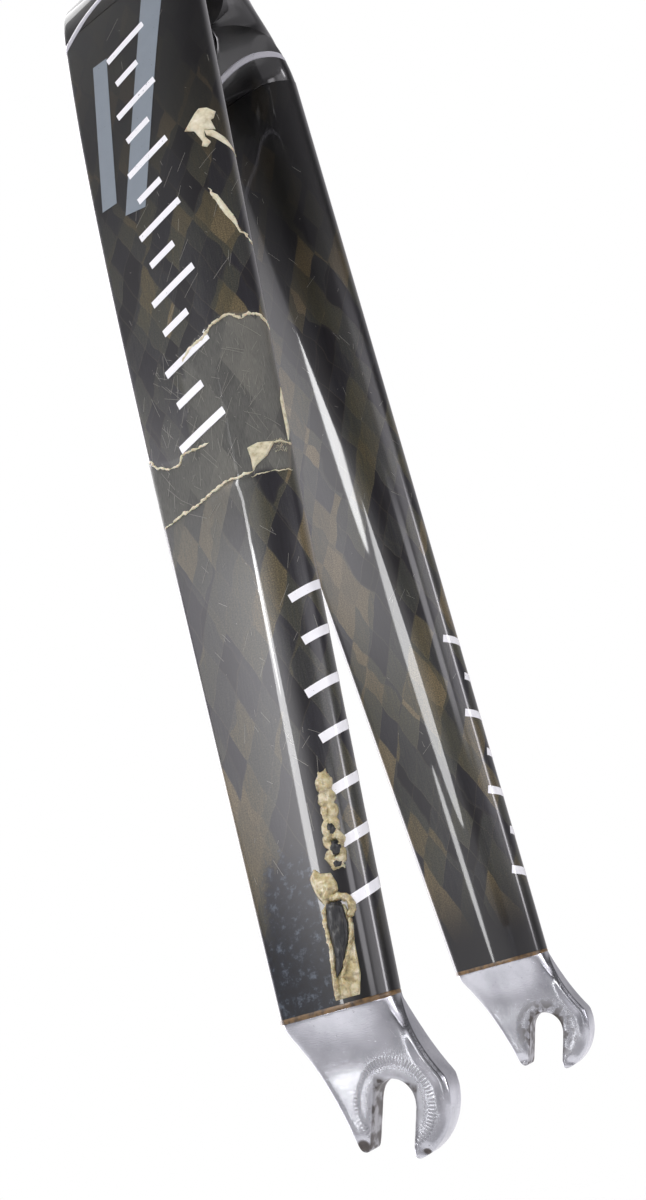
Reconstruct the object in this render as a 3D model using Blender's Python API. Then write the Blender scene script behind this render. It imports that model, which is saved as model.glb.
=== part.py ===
"""Rigid bladed bicycle fork with its steering bearings, spacers and steerer expander.

Metres, +Z up along the steering axis, +X forward, +Y to the rider's left.
The origin is the centre of the crown-race seat, on the steering axis.
"""

from math import atan2, cos, pi, radians, sin, sqrt

import bmesh
import bpy
from mathutils import Matrix, Vector

MM = 0.001
GAP = 0.3 * MM                      # clearance kept between neighbouring pieces
FINE, COARSE = 40, 24               # facets round visible and hidden turned pieces

# Fork geometry
AXLE_TO_CROWN = 380 * MM
RAKE = 40 * MM
SLOT_TILT = radians(15.5)           # the slots hang plumb when the steering axis leans back this much
HUB_WIDTH = 100 * MM                # between the inner faces of the dropouts
PLATE = 6 * MM                      # dropout plate thickness
SLOT_WIDTH = 9.9 * MM

# Blades
BLADE_LEAN = radians(20.56)         # blade axis to slot axis
BLADE_LENGTH = 320 * MM
FOOT_BACK = 15.05 * MM              # centre of the blade's foot, behind the axle
FOOT_UP = 17.19 * MM                # and above it
CHORD_FOOT, CHORD_TOP = 29.6 * MM, 53.6 * MM
THICK_FOOT, THICK_TOP = 12.0 * MM, 16.8 * MM
SPREAD_FOOT, SPREAD_TOP = 53.0 * MM, 31.7 * MM
SPREAD_BOW = 0.7 * MM
NOSE_SHARE = 0.36                   # part of the chord that the rounded nose takes
NOSE_ADVANCE = 0.044                # how fast the leading edge gains on the blade axis
TAIL_THIN = 0.82                    # thickness at the tail over the thickness at the nose
TAIL_RADIUS = 1.9 * MM
BLADE_WALL = 2.0 * MM
BLADE_STEPS = 11
BOND = 0.5 * MM                     # thickness of the adhesive line
BOND_INSET = 0.1 * MM
TANG_LENGTH = 26 * MM               # dropout tang inside the blade
TENON_LENGTH = 22 * MM              # crown tenon inside the blade
TIP_TAPER = 2 * MM                  # lead-in at the end of a tang or tenon

# Dropouts
LOBE_RADIUS = 12.9 * MM             # front lobe round the axle
LOBE_HEIGHT = 1.5 * MM
PRONG_FOOT = -11.0 * MM
SHOULDER_DEPTH = 11.5 * MM          # over which the blade's section thins to the plate
SHOULDER_TUCK = 15.5 * MM           # and shortens
RIM_BEVEL = 0.5 * MM

# Crown and steerer
CROWN_RADIUS = 20.6 * MM
ARCH_TOP = -28 * MM                 # underside of the crown over the tyre
NOSE_DRIFT = 0.044                  # lean of the crown's front and back lines
SIDE_DRIFT = 0.07                   # lean of its sides
SEAT_RADIUS = 15.0 * MM
SEAT_HEIGHT = 5.0 * MM
STEERER_RADIUS = 14.3 * MM
STEERER_BORE = 11.3 * MM
STEERER_LIP = 1.5 * MM              # thicker wall at the foot
STEERER_TOP = 212 * MM
STEERER_FOOT = -24 * MM

# Steering bearings, 41.8 x 30.8 x 8 mm
BEARING_BORE = 15.4 * MM
BEARING_RADIUS = 20.9 * MM
BEARING_HEIGHT = 8.0 * MM
INNER_FACE, OUTER_FACE = 17.5 * MM, 18.8 * MM
CONE_BEVEL, CUP_BEVEL = 1.6 * MM, 1.8 * MM
BALL_CIRCLE = 18.15 * MM
BALL_RADIUS = 1.5 * MM
BALL_COUNT = 12
CAGE_HALF = 1.1 * MM
LOWER_BEARING = 3.0 * MM            # height of its lower face
UPPER_BEARING = 126.0 * MM

# Cover and spacers
COVER_HEIGHT = 7.0 * MM
COVER_LIFT = 1.7 * MM               # cover's underside above the upper bearing
SPACER_RADIUS = 17.0 * MM
SPACER_HEIGHTS = {"spacer_tall": 15 * MM, "spacer_middle": 10 * MM, "spacer_top": 5 * MM}

# Steerer expander
SLEEVE_LOW, SLEEVE_HIGH = STEERER_TOP - 44 * MM, STEERER_TOP - 7 * MM
SLEEVE_BORE = 9.0 * MM
SHOULDER = STEERER_TOP - 9 * MM     # where the bolt head bears
SHAFT = 3.0 * MM
BOLT_HEAD = 6.0 * MM
CAP_RADIUS = 17.2 * MM
CAP_HEIGHT = 4.6 * MM
CAP_RECESS = 3.2 * MM
SLIT = 1.8 * MM


# ---------------------------------------------------------------- making solids

def make_material(name, colour, roughness, metallic=0.0):
    mat = bpy.data.materials.new(name)
    mat.use_nodes = True
    shader = mat.node_tree.nodes["Principled BSDF"]
    shader.inputs["Base Color"].default_value = (*colour, 1.0)
    shader.inputs["Roughness"].default_value = roughness
    shader.inputs["Metallic"].default_value = metallic
    mat.diffuse_color = (*colour, 1.0)
    return mat


def to_object(name, bm, mat):
    """Turn a bmesh into one named object with outward faces and smooth rounds."""
    bmesh.ops.remove_doubles(bm, verts=bm.verts, dist=1e-7)
    bmesh.ops.recalc_face_normals(bm, faces=bm.faces)
    mesh = bpy.data.meshes.new(name)
    bm.to_mesh(mesh)
    bm.free()
    mesh.shade_smooth()
    mesh.set_sharp_from_angle(angle=radians(35))
    mesh.materials.append(materials[mat])
    obj = bpy.data.objects.new(name, mesh)
    bpy.context.collection.objects.link(obj)
    return obj


def cutter(name, bm):
    obj = to_object(name, bm, "steel")
    obj.hide_render = True
    obj.display_type = "WIRE"
    return obj


def combine(obj, operation, other):
    mod = obj.modifiers.new(operation.lower(), "BOOLEAN")
    mod.operation = operation
    mod.solver = "EXACT"
    mod.object = other
    return obj


def turned_mesh(profile, facets):
    """Spin a closed (radius, height) outline about the steering axis."""
    bm = bmesh.new()
    verts = [bm.verts.new((radius, 0, height)) for radius, height in profile]
    edges = [bm.edges.new((verts[i - 1], verts[i])) for i in range(len(verts))]
    bmesh.ops.spin(bm, geom=verts + edges, cent=(0, 0, 0), axis=(0, 0, 1), dvec=(0, 0, 0),
                   angle=2 * pi, steps=facets, use_merge=True)
    bmesh.ops.dissolve_degenerate(bm, edges=bm.edges, dist=1e-8)
    return bm


def turned(name, profile, mat, facets=COARSE):
    return to_object(name, turned_mesh(profile, facets), mat)


def ring(inner, outer, low, high, chamfer=0.0):
    """Outline of a plain ring with its two outer edges chamfered."""
    return [(inner, low), (outer - chamfer, low), (outer, low + chamfer),
            (outer, high - chamfer), (outer - chamfer, high), (inner, high)]


def upright(point, height):
    return (point[0], point[1], height)


def sideways(point, height):
    return (point[0], height, point[1])


def prism(points, low, high, place=upright):
    """A straight prism over a closed outline, drawn upwards or, placed sideways, along Y."""
    bm = bmesh.new()
    base = bm.faces.new([bm.verts.new(place(p, low)) for p in points])
    top = bmesh.ops.extrude_face_region(bm, geom=[base])["geom"]
    bmesh.ops.translate(bm, verts=[v for v in top if isinstance(v, bmesh.types.BMVert)],
                        vec=Vector(place((0, 0), high - low)))
    return bm


def skin(rings, closed=False):
    """Bridge point rings in order: capped at both ends, or closed round into a hollow tube."""
    bm = bmesh.new()
    loops = [[bm.verts.new(p) for p in points] for points in rings]
    count = len(loops[0])
    followers = loops[1:] + loops[:1] if closed else loops[1:]
    for lower, upper in zip(loops, followers):
        for i in range(count):
            j = (i + 1) % count
            bm.faces.new((lower[i], lower[j], upper[j], upper[i]))
    if not closed:
        bm.faces.new(loops[0])
        bm.faces.new(loops[-1])
    return bm


def smooth(t):
    t = min(max(t, 0.0), 1.0)
    return t * t * (3 - 2 * t)


def mix(a, b, t):
    return a + (b - a) * t


def arc(cx, cz, radius, start, end, steps):
    angles = [mix(radians(start), radians(end), i / steps) for i in range(steps + 1)]
    return [(cx + radius * cos(a), cz + radius * sin(a)) for a in angles]


def curve(start, control, end, steps):
    """Points of a quadratic curve, its first point left out."""
    points = []
    for i in range(1, steps + 1):
        t = i / steps
        weights = ((1 - t) ** 2, 2 * t * (1 - t), t * t)
        points.append(tuple(sum(w * p[k] for w, p in zip(weights, (start, control, end)))
                            for k in (0, 1)))
    return points


# ---------------------------------------------------------------- the blade's section and frames

def chord(s):
    """Depth of the blade, front to back, at a distance s up from its foot."""
    t = s / BLADE_LENGTH
    return mix(CHORD_FOOT, CHORD_TOP, 1.2 * t - 0.2 * t ** 5)


def thickness(s):
    return mix(THICK_FOOT, THICK_TOP, s / BLADE_LENGTH)


def spread(s):
    """Distance of the blade's middle plane from the wheel plane."""
    t = s / BLADE_LENGTH
    return mix(SPREAD_FOOT, SPREAD_TOP, t) + SPREAD_BOW * 4 * t * (1 - t)


def nose_line(s):
    """Leading edge ahead of the blade axis."""
    return CHORD_FOOT / 2 + NOSE_ADVANCE * s


def section(length, thick, nose, radius, inset=0.0):
    """Aero section from its leading edge at 0 back to -length: (along, across) points."""
    half = thick / 2 - inset
    front = nose - inset
    corner = max(radius - inset, 0.4 * MM)
    tail = -length + inset
    points = []
    for i in range(13):
        angle = -pi / 2 + pi * i / 12
        points.append((-nose + front * cos(angle), half * sin(angle)))
    tail_half = half * mix(1.0, TAIL_THIN, (-nose - tail) / (length - nose))
    for sign, start in ((1, pi / 2), (-1, pi)):
        for i in range(4):
            angle = start + pi / 2 * i / 3
            points.append((tail + corner + corner * cos(angle),
                           sign * (tail_half - corner) + corner * sin(angle)))
    return points


def slot_frame(x, z):
    """From the axle-centred frame that hangs with the slots to the fork's own frame."""
    return (RAKE + x * cos(SLOT_TILT) + z * sin(SLOT_TILT),
            -AXLE_TO_CROWN - x * sin(SLOT_TILT) + z * cos(SLOT_TILT))


def foot_frame(s, along):
    """From distances up the blade and forward across it to the slot frame."""
    return (-FOOT_BACK - s * sin(BLADE_LEAN) + along * cos(BLADE_LEAN),
            FOOT_UP + s * cos(BLADE_LEAN) + along * sin(BLADE_LEAN))


def blade_ring(s, side, inset=0.0, at=None):
    """Points of the blade's section at s, or of that section moved along the blade to `at`."""
    place = s if at is None else at
    points = []
    for along, across in section(chord(s), thickness(s), NOSE_SHARE * chord(s), TAIL_RADIUS, inset):
        x, z = slot_frame(*foot_frame(place, nose_line(s) + along))
        points.append((x, side * (spread(s) + across), z))
    return points


# ---------------------------------------------------------------- blades and dropouts

def make_blade(name, side):
    low, high = BOND / 2 + GAP, BLADE_LENGTH - GAP / 2
    heights = [mix(low, high, i / BLADE_STEPS) for i in range(BLADE_STEPS + 1)]
    outer = [blade_ring(s, side) for s in heights]
    inner = [blade_ring(s, side, BLADE_WALL) for s in reversed(heights)]
    return to_object(name, skin(outer + inner, closed=True), "carbon")


def make_bond_line(name, side):
    half = BOND / 2
    inner = BLADE_WALL - BOND_INSET
    corners = ((BOND_INSET, -half), (BOND_INSET, half), (inner, half), (inner, -half))
    rings = [blade_ring(0, side, inset, at) for inset, at in corners]
    return to_object(name, skin(rings, closed=True), "adhesive")


def plate_outline():
    """Dropout side view in the slot frame, round from the blade's tail corner."""
    tail = foot_frame(-1.2 * MM, -CHORD_FOOT / 2 + 1.0 * MM)
    nose = foot_frame(-1.2 * MM, CHORD_FOOT / 2 - 1.0 * MM)
    half = SLOT_WIDTH / 2
    rear_tip = (-7.6 * MM, PRONG_FOOT + 0.2 * MM)
    outline = [tail]
    outline += curve(tail, (-16.2 * MM, 2.4 * MM), rear_tip, 7)
    outline += [(-half - 0.6 * MM, PRONG_FOOT), (-half - 0.01 * MM, PRONG_FOOT + 0.6 * MM),
                (half + 0.01 * MM, PRONG_FOOT + 1.6 * MM), (half + 0.7 * MM, PRONG_FOOT + 1.2 * MM)]
    outline += arc(0, LOBE_HEIGHT, LOBE_RADIUS, -56, 28, 10)
    outline += curve(outline[-1], (5.2 * MM, 13.6 * MM), nose, 6)
    return outline


def shoulder_ring(share, side):
    """Section of the dropout's shoulder on its way from the blade's foot down into the plate."""
    length = CHORD_FOOT - SHOULDER_TUCK * share ** 1.2
    thick = mix(THICK_FOOT, PLATE - 0.6 * MM, smooth(share * 1.02))
    lead = CHORD_FOOT / 2 - 0.12 * (CHORD_FOOT - length)
    depth = BOND / 2 + GAP + SHOULDER_DEPTH * share
    points = []
    for along, across in section(length, thick, min(NOSE_SHARE * CHORD_FOOT, 0.4 * length), 1.6 * MM):
        x, z = slot_frame(*foot_frame(-depth, lead + along))
        points.append((x, side * (SPREAD_FOOT + across), z))
    return points


def make_shoulder(name, side):
    """Tang and shoulder as one loft, from the tang's tip down into the plate."""
    base = -BOND / 2 - GAP
    inset = BLADE_WALL + GAP
    rings = [blade_ring(TANG_LENGTH, side, inset + 0.5 * MM), blade_ring(TANG_LENGTH - TIP_TAPER, side, inset),
             blade_ring(0, side, inset, base), blade_ring(0, side, 0.0, base)]
    rings += [shoulder_ring(share, side) for share in (0.12, 0.3, 0.5, 0.7, 0.88, 1.0)]
    return cutter(name, skin(rings))


def make_slot(name, side):
    half = SLOT_WIDTH / 2
    below = 2 * PRONG_FOOT
    outline = [(half, below)] + arc(0, 0, half, 0, 180, 14) + [(-half, below)]
    low, high = sorted(side * (HUB_WIDTH / 2 + reach) for reach in (-PLATE, 2 * PLATE))
    return cutter(name, prism([slot_frame(*p) for p in outline], low, high, sideways))


def make_dropout(name, side):
    low, high = sorted((side * HUB_WIDTH / 2, side * (HUB_WIDTH / 2 + PLATE)))
    bm = prism([slot_frame(*p) for p in plate_outline()], low, high, sideways)
    rim = [e for e in bm.edges if abs(e.verts[0].co.y - e.verts[1].co.y) < 1e-6]
    bmesh.ops.bevel(bm, geom=rim, offset=RIM_BEVEL, segments=1, affect="EDGES")
    plate = to_object(name, bm, "aluminium")
    combine(plate, "UNION", make_shoulder(name + ".shoulder", side))
    combine(plate, "DIFFERENCE", make_slot(name + ".slot", side))


# ---------------------------------------------------------------- crown and steerer

class CrownLeg:
    """One leg of the crown: where it leaves the blade and how its sizes run up to the race seat."""

    def __init__(self, foot):
        points = blade_ring(foot, 1)
        self.level = sum(p[2] for p in points) / len(points)
        self.front, self.back = max(p[0] for p in points), min(p[0] for p in points)
        self.inner, self.outer = spread(foot) - thickness(foot) / 2, spread(foot) + thickness(foot) / 2

    def share(self, level):
        return 1 - level / self.level

    def ends_at(self, level):
        """Front and back: the blade's own lines, drawn in to the race seat near the top."""
        ease = smooth((self.share(level) - 0.55) / 0.45)
        drift = -NOSE_DRIFT * (level - self.level)
        return mix(self.front + drift, CROWN_RADIUS, ease), mix(self.back + drift, -CROWN_RADIUS, ease)

    def outer_at(self, level):
        drift = -SIDE_DRIFT * (level - self.level)
        return mix(self.outer + drift, CROWN_RADIUS, smooth((self.share(level) - 0.4) / 0.6))

    def ring(self, level, inner):
        """Section at a height, its inner face at a distance from the wheel plane."""
        front, back = self.ends_at(level)
        outer = self.outer_at(level)
        length, thick, middle = front - back, outer - inner, (outer + inner) / 2
        roundness = smooth((self.share(level) - 0.35) / 0.65)
        aero = section(length, thick, NOSE_SHARE * length, TAIL_RADIUS * (1 + 2 * roundness))
        angles = [-pi / 2 + pi * i / 12 for i in range(13)]
        angles += [pi / 2 + pi * (i + 0.5) / 8 for i in range(8)]
        points = []
        for (along, across), angle in zip(aero, angles):
            points.append((mix(front + along, (front + back + length * cos(angle)) / 2, roundness),
                           middle + mix(across, thick / 2 * sin(angle), roundness), level))
        return points


def make_crown():
    """One leg from its tenon in the blade to the race seat, cut at the wheel plane and mirrored."""
    foot = BLADE_LENGTH + GAP / 2
    inset = BLADE_WALL + GAP
    tip = foot - TENON_LENGTH
    leg = CrownLeg(foot)
    rings = [blade_ring(tip, 1, inset + 0.6 * MM), blade_ring(tip + TIP_TAPER, 1, inset),
             blade_ring(foot - 0.05 * MM, 1, inset, foot), blade_ring(foot, 1)]
    for i in range(1, 7):
        turn = pi / 2 * i / 6
        rings.append(leg.ring(mix(leg.level, ARCH_TOP, sin(turn)), leg.inner * cos(turn)))
    for share in (0.12, 0.26, 0.4, 0.55, 0.7, 0.85, 1.0):
        level = mix(ARCH_TOP, 0.0, share)
        rings.append(leg.ring(level, -leg.outer_at(level) * smooth(share / 0.4)))
    bm = skin(rings)
    bmesh.ops.triangulate(bm, faces=[f for f in bm.faces if len(f.verts) == 4])
    bmesh.ops.bisect_plane(bm, geom=bm.verts[:] + bm.edges[:] + bm.faces[:], dist=1e-7,
                           plane_co=(0, 0, 0), plane_no=(0, 1, 0), clear_inner=True)
    bmesh.ops.mirror(bm, geom=bm.verts[:] + bm.edges[:] + bm.faces[:], matrix=Matrix.Identity(4),
                     merge_dist=1e-6, axis="Y")
    crown = to_object("crown", bm, "carbon")
    hole = SEAT_RADIUS + GAP
    low, high = 2 * leg.level, 20 * MM
    bore = turned_mesh([(0, low), (hole, low), (hole, high), (0, high)], FINE)
    combine(crown, "DIFFERENCE", cutter("crown.bore", bore))


def make_steerer():
    foot_bore = STEERER_BORE - STEERER_LIP
    turned("steerer_tube",
           [(foot_bore, STEERER_FOOT), (SEAT_RADIUS, STEERER_FOOT), (SEAT_RADIUS, SEAT_HEIGHT),
            (STEERER_RADIUS, SEAT_HEIGHT + 4 * MM), (STEERER_RADIUS, STEERER_TOP),
            (STEERER_BORE, STEERER_TOP), (STEERER_BORE, 20 * MM), (foot_bore, 5 * MM)],
           "steerer", FINE)


# ---------------------------------------------------------------- steering bearings and spacers

def groove(surface, middle):
    """Ball track in a ring's face at radius `surface`, as points from low to high."""
    reach = BALL_RADIUS + GAP
    away = surface - BALL_CIRCLE
    side = 1 if away > 0 else -1
    half_angle = atan2(sqrt(reach ** 2 - away ** 2), abs(away))
    angles = [mix(-half_angle, half_angle, i / 4) for i in range(5)]
    return [(BALL_CIRCLE + side * reach * cos(a), middle + reach * sin(a)) for a in angles]


def make_rings(which, base, cone_below):
    """Inner ring, chamfered where the cone enters, and outer ring, chamfered where the cup holds it."""
    top, middle = base + BEARING_HEIGHT, base + BEARING_HEIGHT / 2
    if cone_below:
        bore_side = [(BEARING_BORE, top), (BEARING_BORE, base + CONE_BEVEL), (BEARING_BORE + CONE_BEVEL, base)]
        rim = [(BEARING_RADIUS, base), (BEARING_RADIUS, top - CUP_BEVEL), (BEARING_RADIUS - CUP_BEVEL / 2, top)]
    else:
        bore_side = [(BEARING_BORE + CONE_BEVEL, top), (BEARING_BORE, top - CONE_BEVEL), (BEARING_BORE, base)]
        rim = [(BEARING_RADIUS - CUP_BEVEL / 2, base), (BEARING_RADIUS, base + CUP_BEVEL), (BEARING_RADIUS, top)]
    turned(which + "_inner_ring",
           bore_side + [(INNER_FACE, base)] + groove(INNER_FACE, middle) + [(INNER_FACE, top)], "steel")
    turned(which + "_outer_ring",
           [(OUTER_FACE, top)] + groove(OUTER_FACE, middle)[::-1] + [(OUTER_FACE, base)] + rim, "steel")


def make_bearing(which, base, cone_below):
    make_rings(which, base, cone_below)
    middle = base + BEARING_HEIGHT / 2
    race_gap = (INNER_FACE + 0.35 * MM, OUTER_FACE - 0.35 * MM)
    cage = turned(which + "_ball_cage", ring(*race_gap, middle - CAGE_HALF, middle + CAGE_HALF), "steel")
    balls = bmesh.new()
    for i in range(BALL_COUNT):
        angle = 2 * pi * (i + 0.5) / BALL_COUNT
        place = Matrix.Translation((BALL_CIRCLE * cos(angle), BALL_CIRCLE * sin(angle), middle))
        bmesh.ops.create_icosphere(balls, subdivisions=2, radius=BALL_RADIUS, matrix=place)
    combine(cage, "UNION", cutter(which + "_ball_cage.balls", balls))
    seal_gap = (INNER_FACE + GAP, OUTER_FACE - GAP)
    for level, low in (("bottom", base + 0.3 * MM), ("top", base + BEARING_HEIGHT - 1.0 * MM)):
        turned(which + "_seal_" + level, ring(*seal_gap, low, low + 0.7 * MM), "rubber")


def make_crown_race():
    bore = SEAT_RADIUS + GAP
    cone_foot, cone_tip = LOWER_BEARING - GAP, LOWER_BEARING + 0.7 * MM
    turned("crown_race",
           [(bore, GAP), (CROWN_RADIUS, GAP), (CROWN_RADIUS, 2.2 * MM), (CROWN_RADIUS - 0.6 * MM, cone_foot),
            (16.75 * MM, cone_foot), (15.75 * MM, cone_tip), (bore, cone_tip)],
           "steel", FINE)


def make_compression_ring(top):
    """Split wedge between the steerer and the upper bearing's chamfered bore."""
    bore = STEERER_RADIUS + GAP
    wedge = turned("compression_ring",
                   [(bore, top - 2.4 * MM), (15.05 * MM, top - 2.4 * MM), (15.05 * MM, top - 1.6 * MM),
                    (16.75 * MM, top + 0.3 * MM), (16.75 * MM, top + 1.4 * MM), (bore, top + 1.4 * MM)],
                   "alloy_black")
    combine(wedge, "DIFFERENCE", make_slit("compression_ring.slit", 10 * MM, 20 * MM, top))


def make_slit(name, start, end, middle, reach=6 * MM):
    """Cutter for a slit through one side of a ring."""
    half = SLIT / 2
    outline = [(start, -half), (end, -half), (end, half), (start, half)]
    return cutter(name, prism(outline, middle - reach, middle + reach))


def make_cover(roof):
    """Dust cover whose skirt hangs round the compression ring, with a rubber ring in its bore."""
    bore = STEERER_RADIUS + GAP
    turned("bearing_cover",
           [(17.1 * MM, roof - 1.4 * MM), (21.8 * MM, roof - 1.4 * MM), (22.2 * MM, roof),
            (21.0 * MM, roof + 3.7 * MM), (18.2 * MM, roof + 6.2 * MM), (17.4 * MM, roof + COVER_HEIGHT),
            (bore, roof + COVER_HEIGHT), (bore, roof + 3.4 * MM), (15.9 * MM, roof + 3.4 * MM),
            (15.9 * MM, roof), (17.1 * MM, roof)],
           "alloy_black", FINE)
    turned("cover_seal",
           [(bore, roof + 1.5 * MM), (15.3 * MM, roof + 1.5 * MM), (15.6 * MM, roof + 2.3 * MM),
            (15.3 * MM, roof + 3.1 * MM), (bore, roof + 3.1 * MM)],
           "rubber")


def make_spacers(low):
    for name, height in SPACER_HEIGHTS.items():
        turned(name, ring(STEERER_RADIUS + GAP, SPACER_RADIUS, low, low + height, 0.5 * MM), "alloy_black", FINE)
        low += height + GAP


# ---------------------------------------------------------------- steerer expander and cap

def hex_socket(name, across_flats, low, high):
    radius = across_flats / sqrt(3)
    corners = [(radius * cos(pi / 3 * i), radius * sin(pi / 3 * i)) for i in range(6)]
    return cutter(name, prism(corners, low, high))


def make_expander():
    top, bore = STEERER_TOP, SHAFT + GAP
    flange, barrel = STEERER_RADIUS - GAP, 8.4 * MM
    turned("expander_body",
           [(bore, SHOULDER - 6 * MM), (6.6 * MM, SHOULDER - 6 * MM), (barrel, SHOULDER - 2 * MM),
            (9.8 * MM, top - 1.5 * MM), (9.8 * MM, top + GAP), (flange, top + GAP), (flange, top + 1.6 * MM),
            (BOLT_HEAD + 0.4 * MM, top + 1.6 * MM), (BOLT_HEAD + 0.4 * MM, SHOULDER), (bore, SHOULDER)],
           "aluminium")
    grip, lead = STEERER_BORE - GAP, 0.6 * MM
    sleeve = turned("expander_sleeve",
                    [(SLEEVE_BORE, SLEEVE_LOW + 4 * MM), (grip - lead, SLEEVE_LOW), (grip, SLEEVE_LOW + lead),
                     (grip, SLEEVE_HIGH - lead), (grip - lead, SLEEVE_HIGH), (SLEEVE_BORE, SLEEVE_HIGH)],
                    "aluminium")
    middle = (SLEEVE_LOW + SLEEVE_HIGH) / 2
    combine(sleeve, "DIFFERENCE", make_slit("expander_sleeve.slit", 4 * MM, 14 * MM, middle, 30 * MM))
    turned("expander_wedge",
           [(bore, SLEEVE_LOW - 6 * MM), (9.6 * MM, SLEEVE_LOW - 6 * MM), (10.1 * MM, SLEEVE_LOW - 0.6 * MM),
            (8.3 * MM, SLEEVE_LOW + 3.8 * MM), (8.3 * MM, SLEEVE_LOW + 8 * MM), (bore, SLEEVE_LOW + 8 * MM)],
           "aluminium")
    head_top = top - 1.0 * MM
    bolt = turned("expander_bolt",
                  [(0, SLEEVE_LOW - 11 * MM), (SHAFT, SLEEVE_LOW - 11 * MM), (SHAFT, SHOULDER + GAP),
                   (BOLT_HEAD, SHOULDER + GAP), (BOLT_HEAD, head_top - 0.5 * MM),
                   (BOLT_HEAD - 0.5 * MM, head_top), (0, head_top)],
                  "steel")
    combine(bolt, "DIFFERENCE", hex_socket("expander_bolt.socket", 6 * MM, top - 6 * MM, top + 4 * MM))


def make_top_cap():
    seat = STEERER_TOP + 1.6 * MM + GAP
    crest = seat + CAP_HEIGHT
    floor = crest - CAP_RECESS
    turned("top_cap",
           [(2.9 * MM, seat), (CAP_RADIUS - 0.6 * MM, seat), (CAP_RADIUS, seat + 0.6 * MM),
            (CAP_RADIUS, crest - 1.6 * MM), (CAP_RADIUS - 1.4 * MM, crest), (5.6 * MM, crest),
            (5.2 * MM, crest - 0.4 * MM), (5.2 * MM, floor), (2.9 * MM, floor)],
           "alloy_black", FINE)
    tip = STEERER_TOP - 5 * MM
    screw = turned("top_cap_bolt",
                   [(0, tip), (2.4 * MM, tip), (2.4 * MM, floor + GAP), (4.8 * MM, floor + GAP),
                    (4.8 * MM, crest - 0.6 * MM), (4.3 * MM, crest), (0, crest)],
                   "steel")
    combine(screw, "DIFFERENCE", hex_socket("top_cap_bolt.socket", 4 * MM, crest - 2.2 * MM, crest + 3 * MM))


# ---------------------------------------------------------------- the fork

for old in list(bpy.data.objects):
    bpy.data.objects.remove(old, do_unlink=True)

materials = {
    "carbon": make_material("carbon", (0.030, 0.027, 0.025), 0.18),
    "steerer": make_material("steerer", (0.035, 0.035, 0.036), 0.45),
    "aluminium": make_material("aluminium", (0.72, 0.72, 0.72), 0.25, 1.0),
    "adhesive": make_material("adhesive", (0.22, 0.15, 0.08), 0.35),
    "alloy_black": make_material("alloy_black", (0.02, 0.02, 0.022), 0.35, 0.6),
    "steel": make_material("steel", (0.55, 0.56, 0.58), 0.25, 1.0),
    "rubber": make_material("rubber", (0.02, 0.02, 0.02), 0.7),
}

for label, side in (("right", -1), ("left", 1)):
    make_blade("blade_" + label, side)
    make_bond_line("bond_line_" + label, side)
    make_dropout("dropout_" + label, side)
make_crown()
make_steerer()
make_crown_race()
make_bearing("lower", LOWER_BEARING, cone_below=True)
make_bearing("upper", UPPER_BEARING, cone_below=False)
make_compression_ring(UPPER_BEARING + BEARING_HEIGHT)
make_cover(UPPER_BEARING + BEARING_HEIGHT + COVER_LIFT)
make_spacers(UPPER_BEARING + BEARING_HEIGHT + COVER_LIFT + COVER_HEIGHT + GAP)
make_expander()
make_top_cap()
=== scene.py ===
"""Looks of a rigid bladed bicycle fork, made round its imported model.

Metres, +Z up the steering axis, +X forward, +Y to the rider's left. A place on a leg is also
given flat, as (u, s): u is the distance round the section from the leading edge, positive on
the outer flank, and s the distance up the leg from the blade's foot.
"""

from math import cos, pi, radians, sin

import bmesh
import bpy
import numpy as np
from mathutils import Matrix, Vector, noise


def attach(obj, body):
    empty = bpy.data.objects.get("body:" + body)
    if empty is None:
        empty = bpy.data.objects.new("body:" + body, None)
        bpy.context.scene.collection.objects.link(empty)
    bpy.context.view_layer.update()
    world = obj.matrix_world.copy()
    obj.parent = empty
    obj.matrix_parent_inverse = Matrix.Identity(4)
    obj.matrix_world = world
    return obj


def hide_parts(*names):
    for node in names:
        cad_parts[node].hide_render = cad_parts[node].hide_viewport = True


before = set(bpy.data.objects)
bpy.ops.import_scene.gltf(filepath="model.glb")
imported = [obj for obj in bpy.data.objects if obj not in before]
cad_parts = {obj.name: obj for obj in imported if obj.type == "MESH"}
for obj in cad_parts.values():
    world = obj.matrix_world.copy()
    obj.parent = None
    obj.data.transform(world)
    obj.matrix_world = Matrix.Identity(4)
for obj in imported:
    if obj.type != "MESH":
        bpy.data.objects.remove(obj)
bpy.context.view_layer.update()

MM = 0.001
FORK = "fork"
SIDES = {"right": -1, "left": 1}

# The fork's geometry, as its model has it
AXLE_TO_CROWN, RAKE, SLOT_TILT = 380 * MM, 40 * MM, radians(15.5)
HUB_WIDTH, PLATE, SLOT_WIDTH = 100 * MM, 6 * MM, 9.9 * MM
BLADE_LEAN, BLADE_LENGTH = radians(20.56), 320 * MM
FOOT_BACK, FOOT_UP = 15.05 * MM, 17.19 * MM
CHORD_FOOT, CHORD_TOP = 29.6 * MM, 53.6 * MM
THICK_FOOT, THICK_TOP = 12.0 * MM, 16.8 * MM
SPREAD_FOOT, SPREAD_TOP, SPREAD_BOW = 53.0 * MM, 31.7 * MM, 0.7 * MM
NOSE_SHARE, NOSE_ADVANCE = 0.36, 0.044
TAIL_THIN, TAIL_RADIUS, BLADE_WALL = 0.82, 2.9 * MM, 2.0 * MM
FLANK_CROWN = 0.28 * MM             # how far the flanks swell between nose and tail
GAP, BOND = 0.3 * MM, 0.5 * MM
TANG_LENGTH, TENON_LENGTH = 26 * MM, 22 * MM
LOBE_RADIUS, LOBE_HEIGHT, PRONG_FOOT = 12.9 * MM, 1.5 * MM, -11.0 * MM
SCOOP_DEPTH, SHOULDER_RISE = 15.0 * MM, 0.15 * MM
RIM_RISE, RIM_IN = 0.55 * MM, 1.3 * MM      # the raised rim along the dropout's front edge
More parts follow.
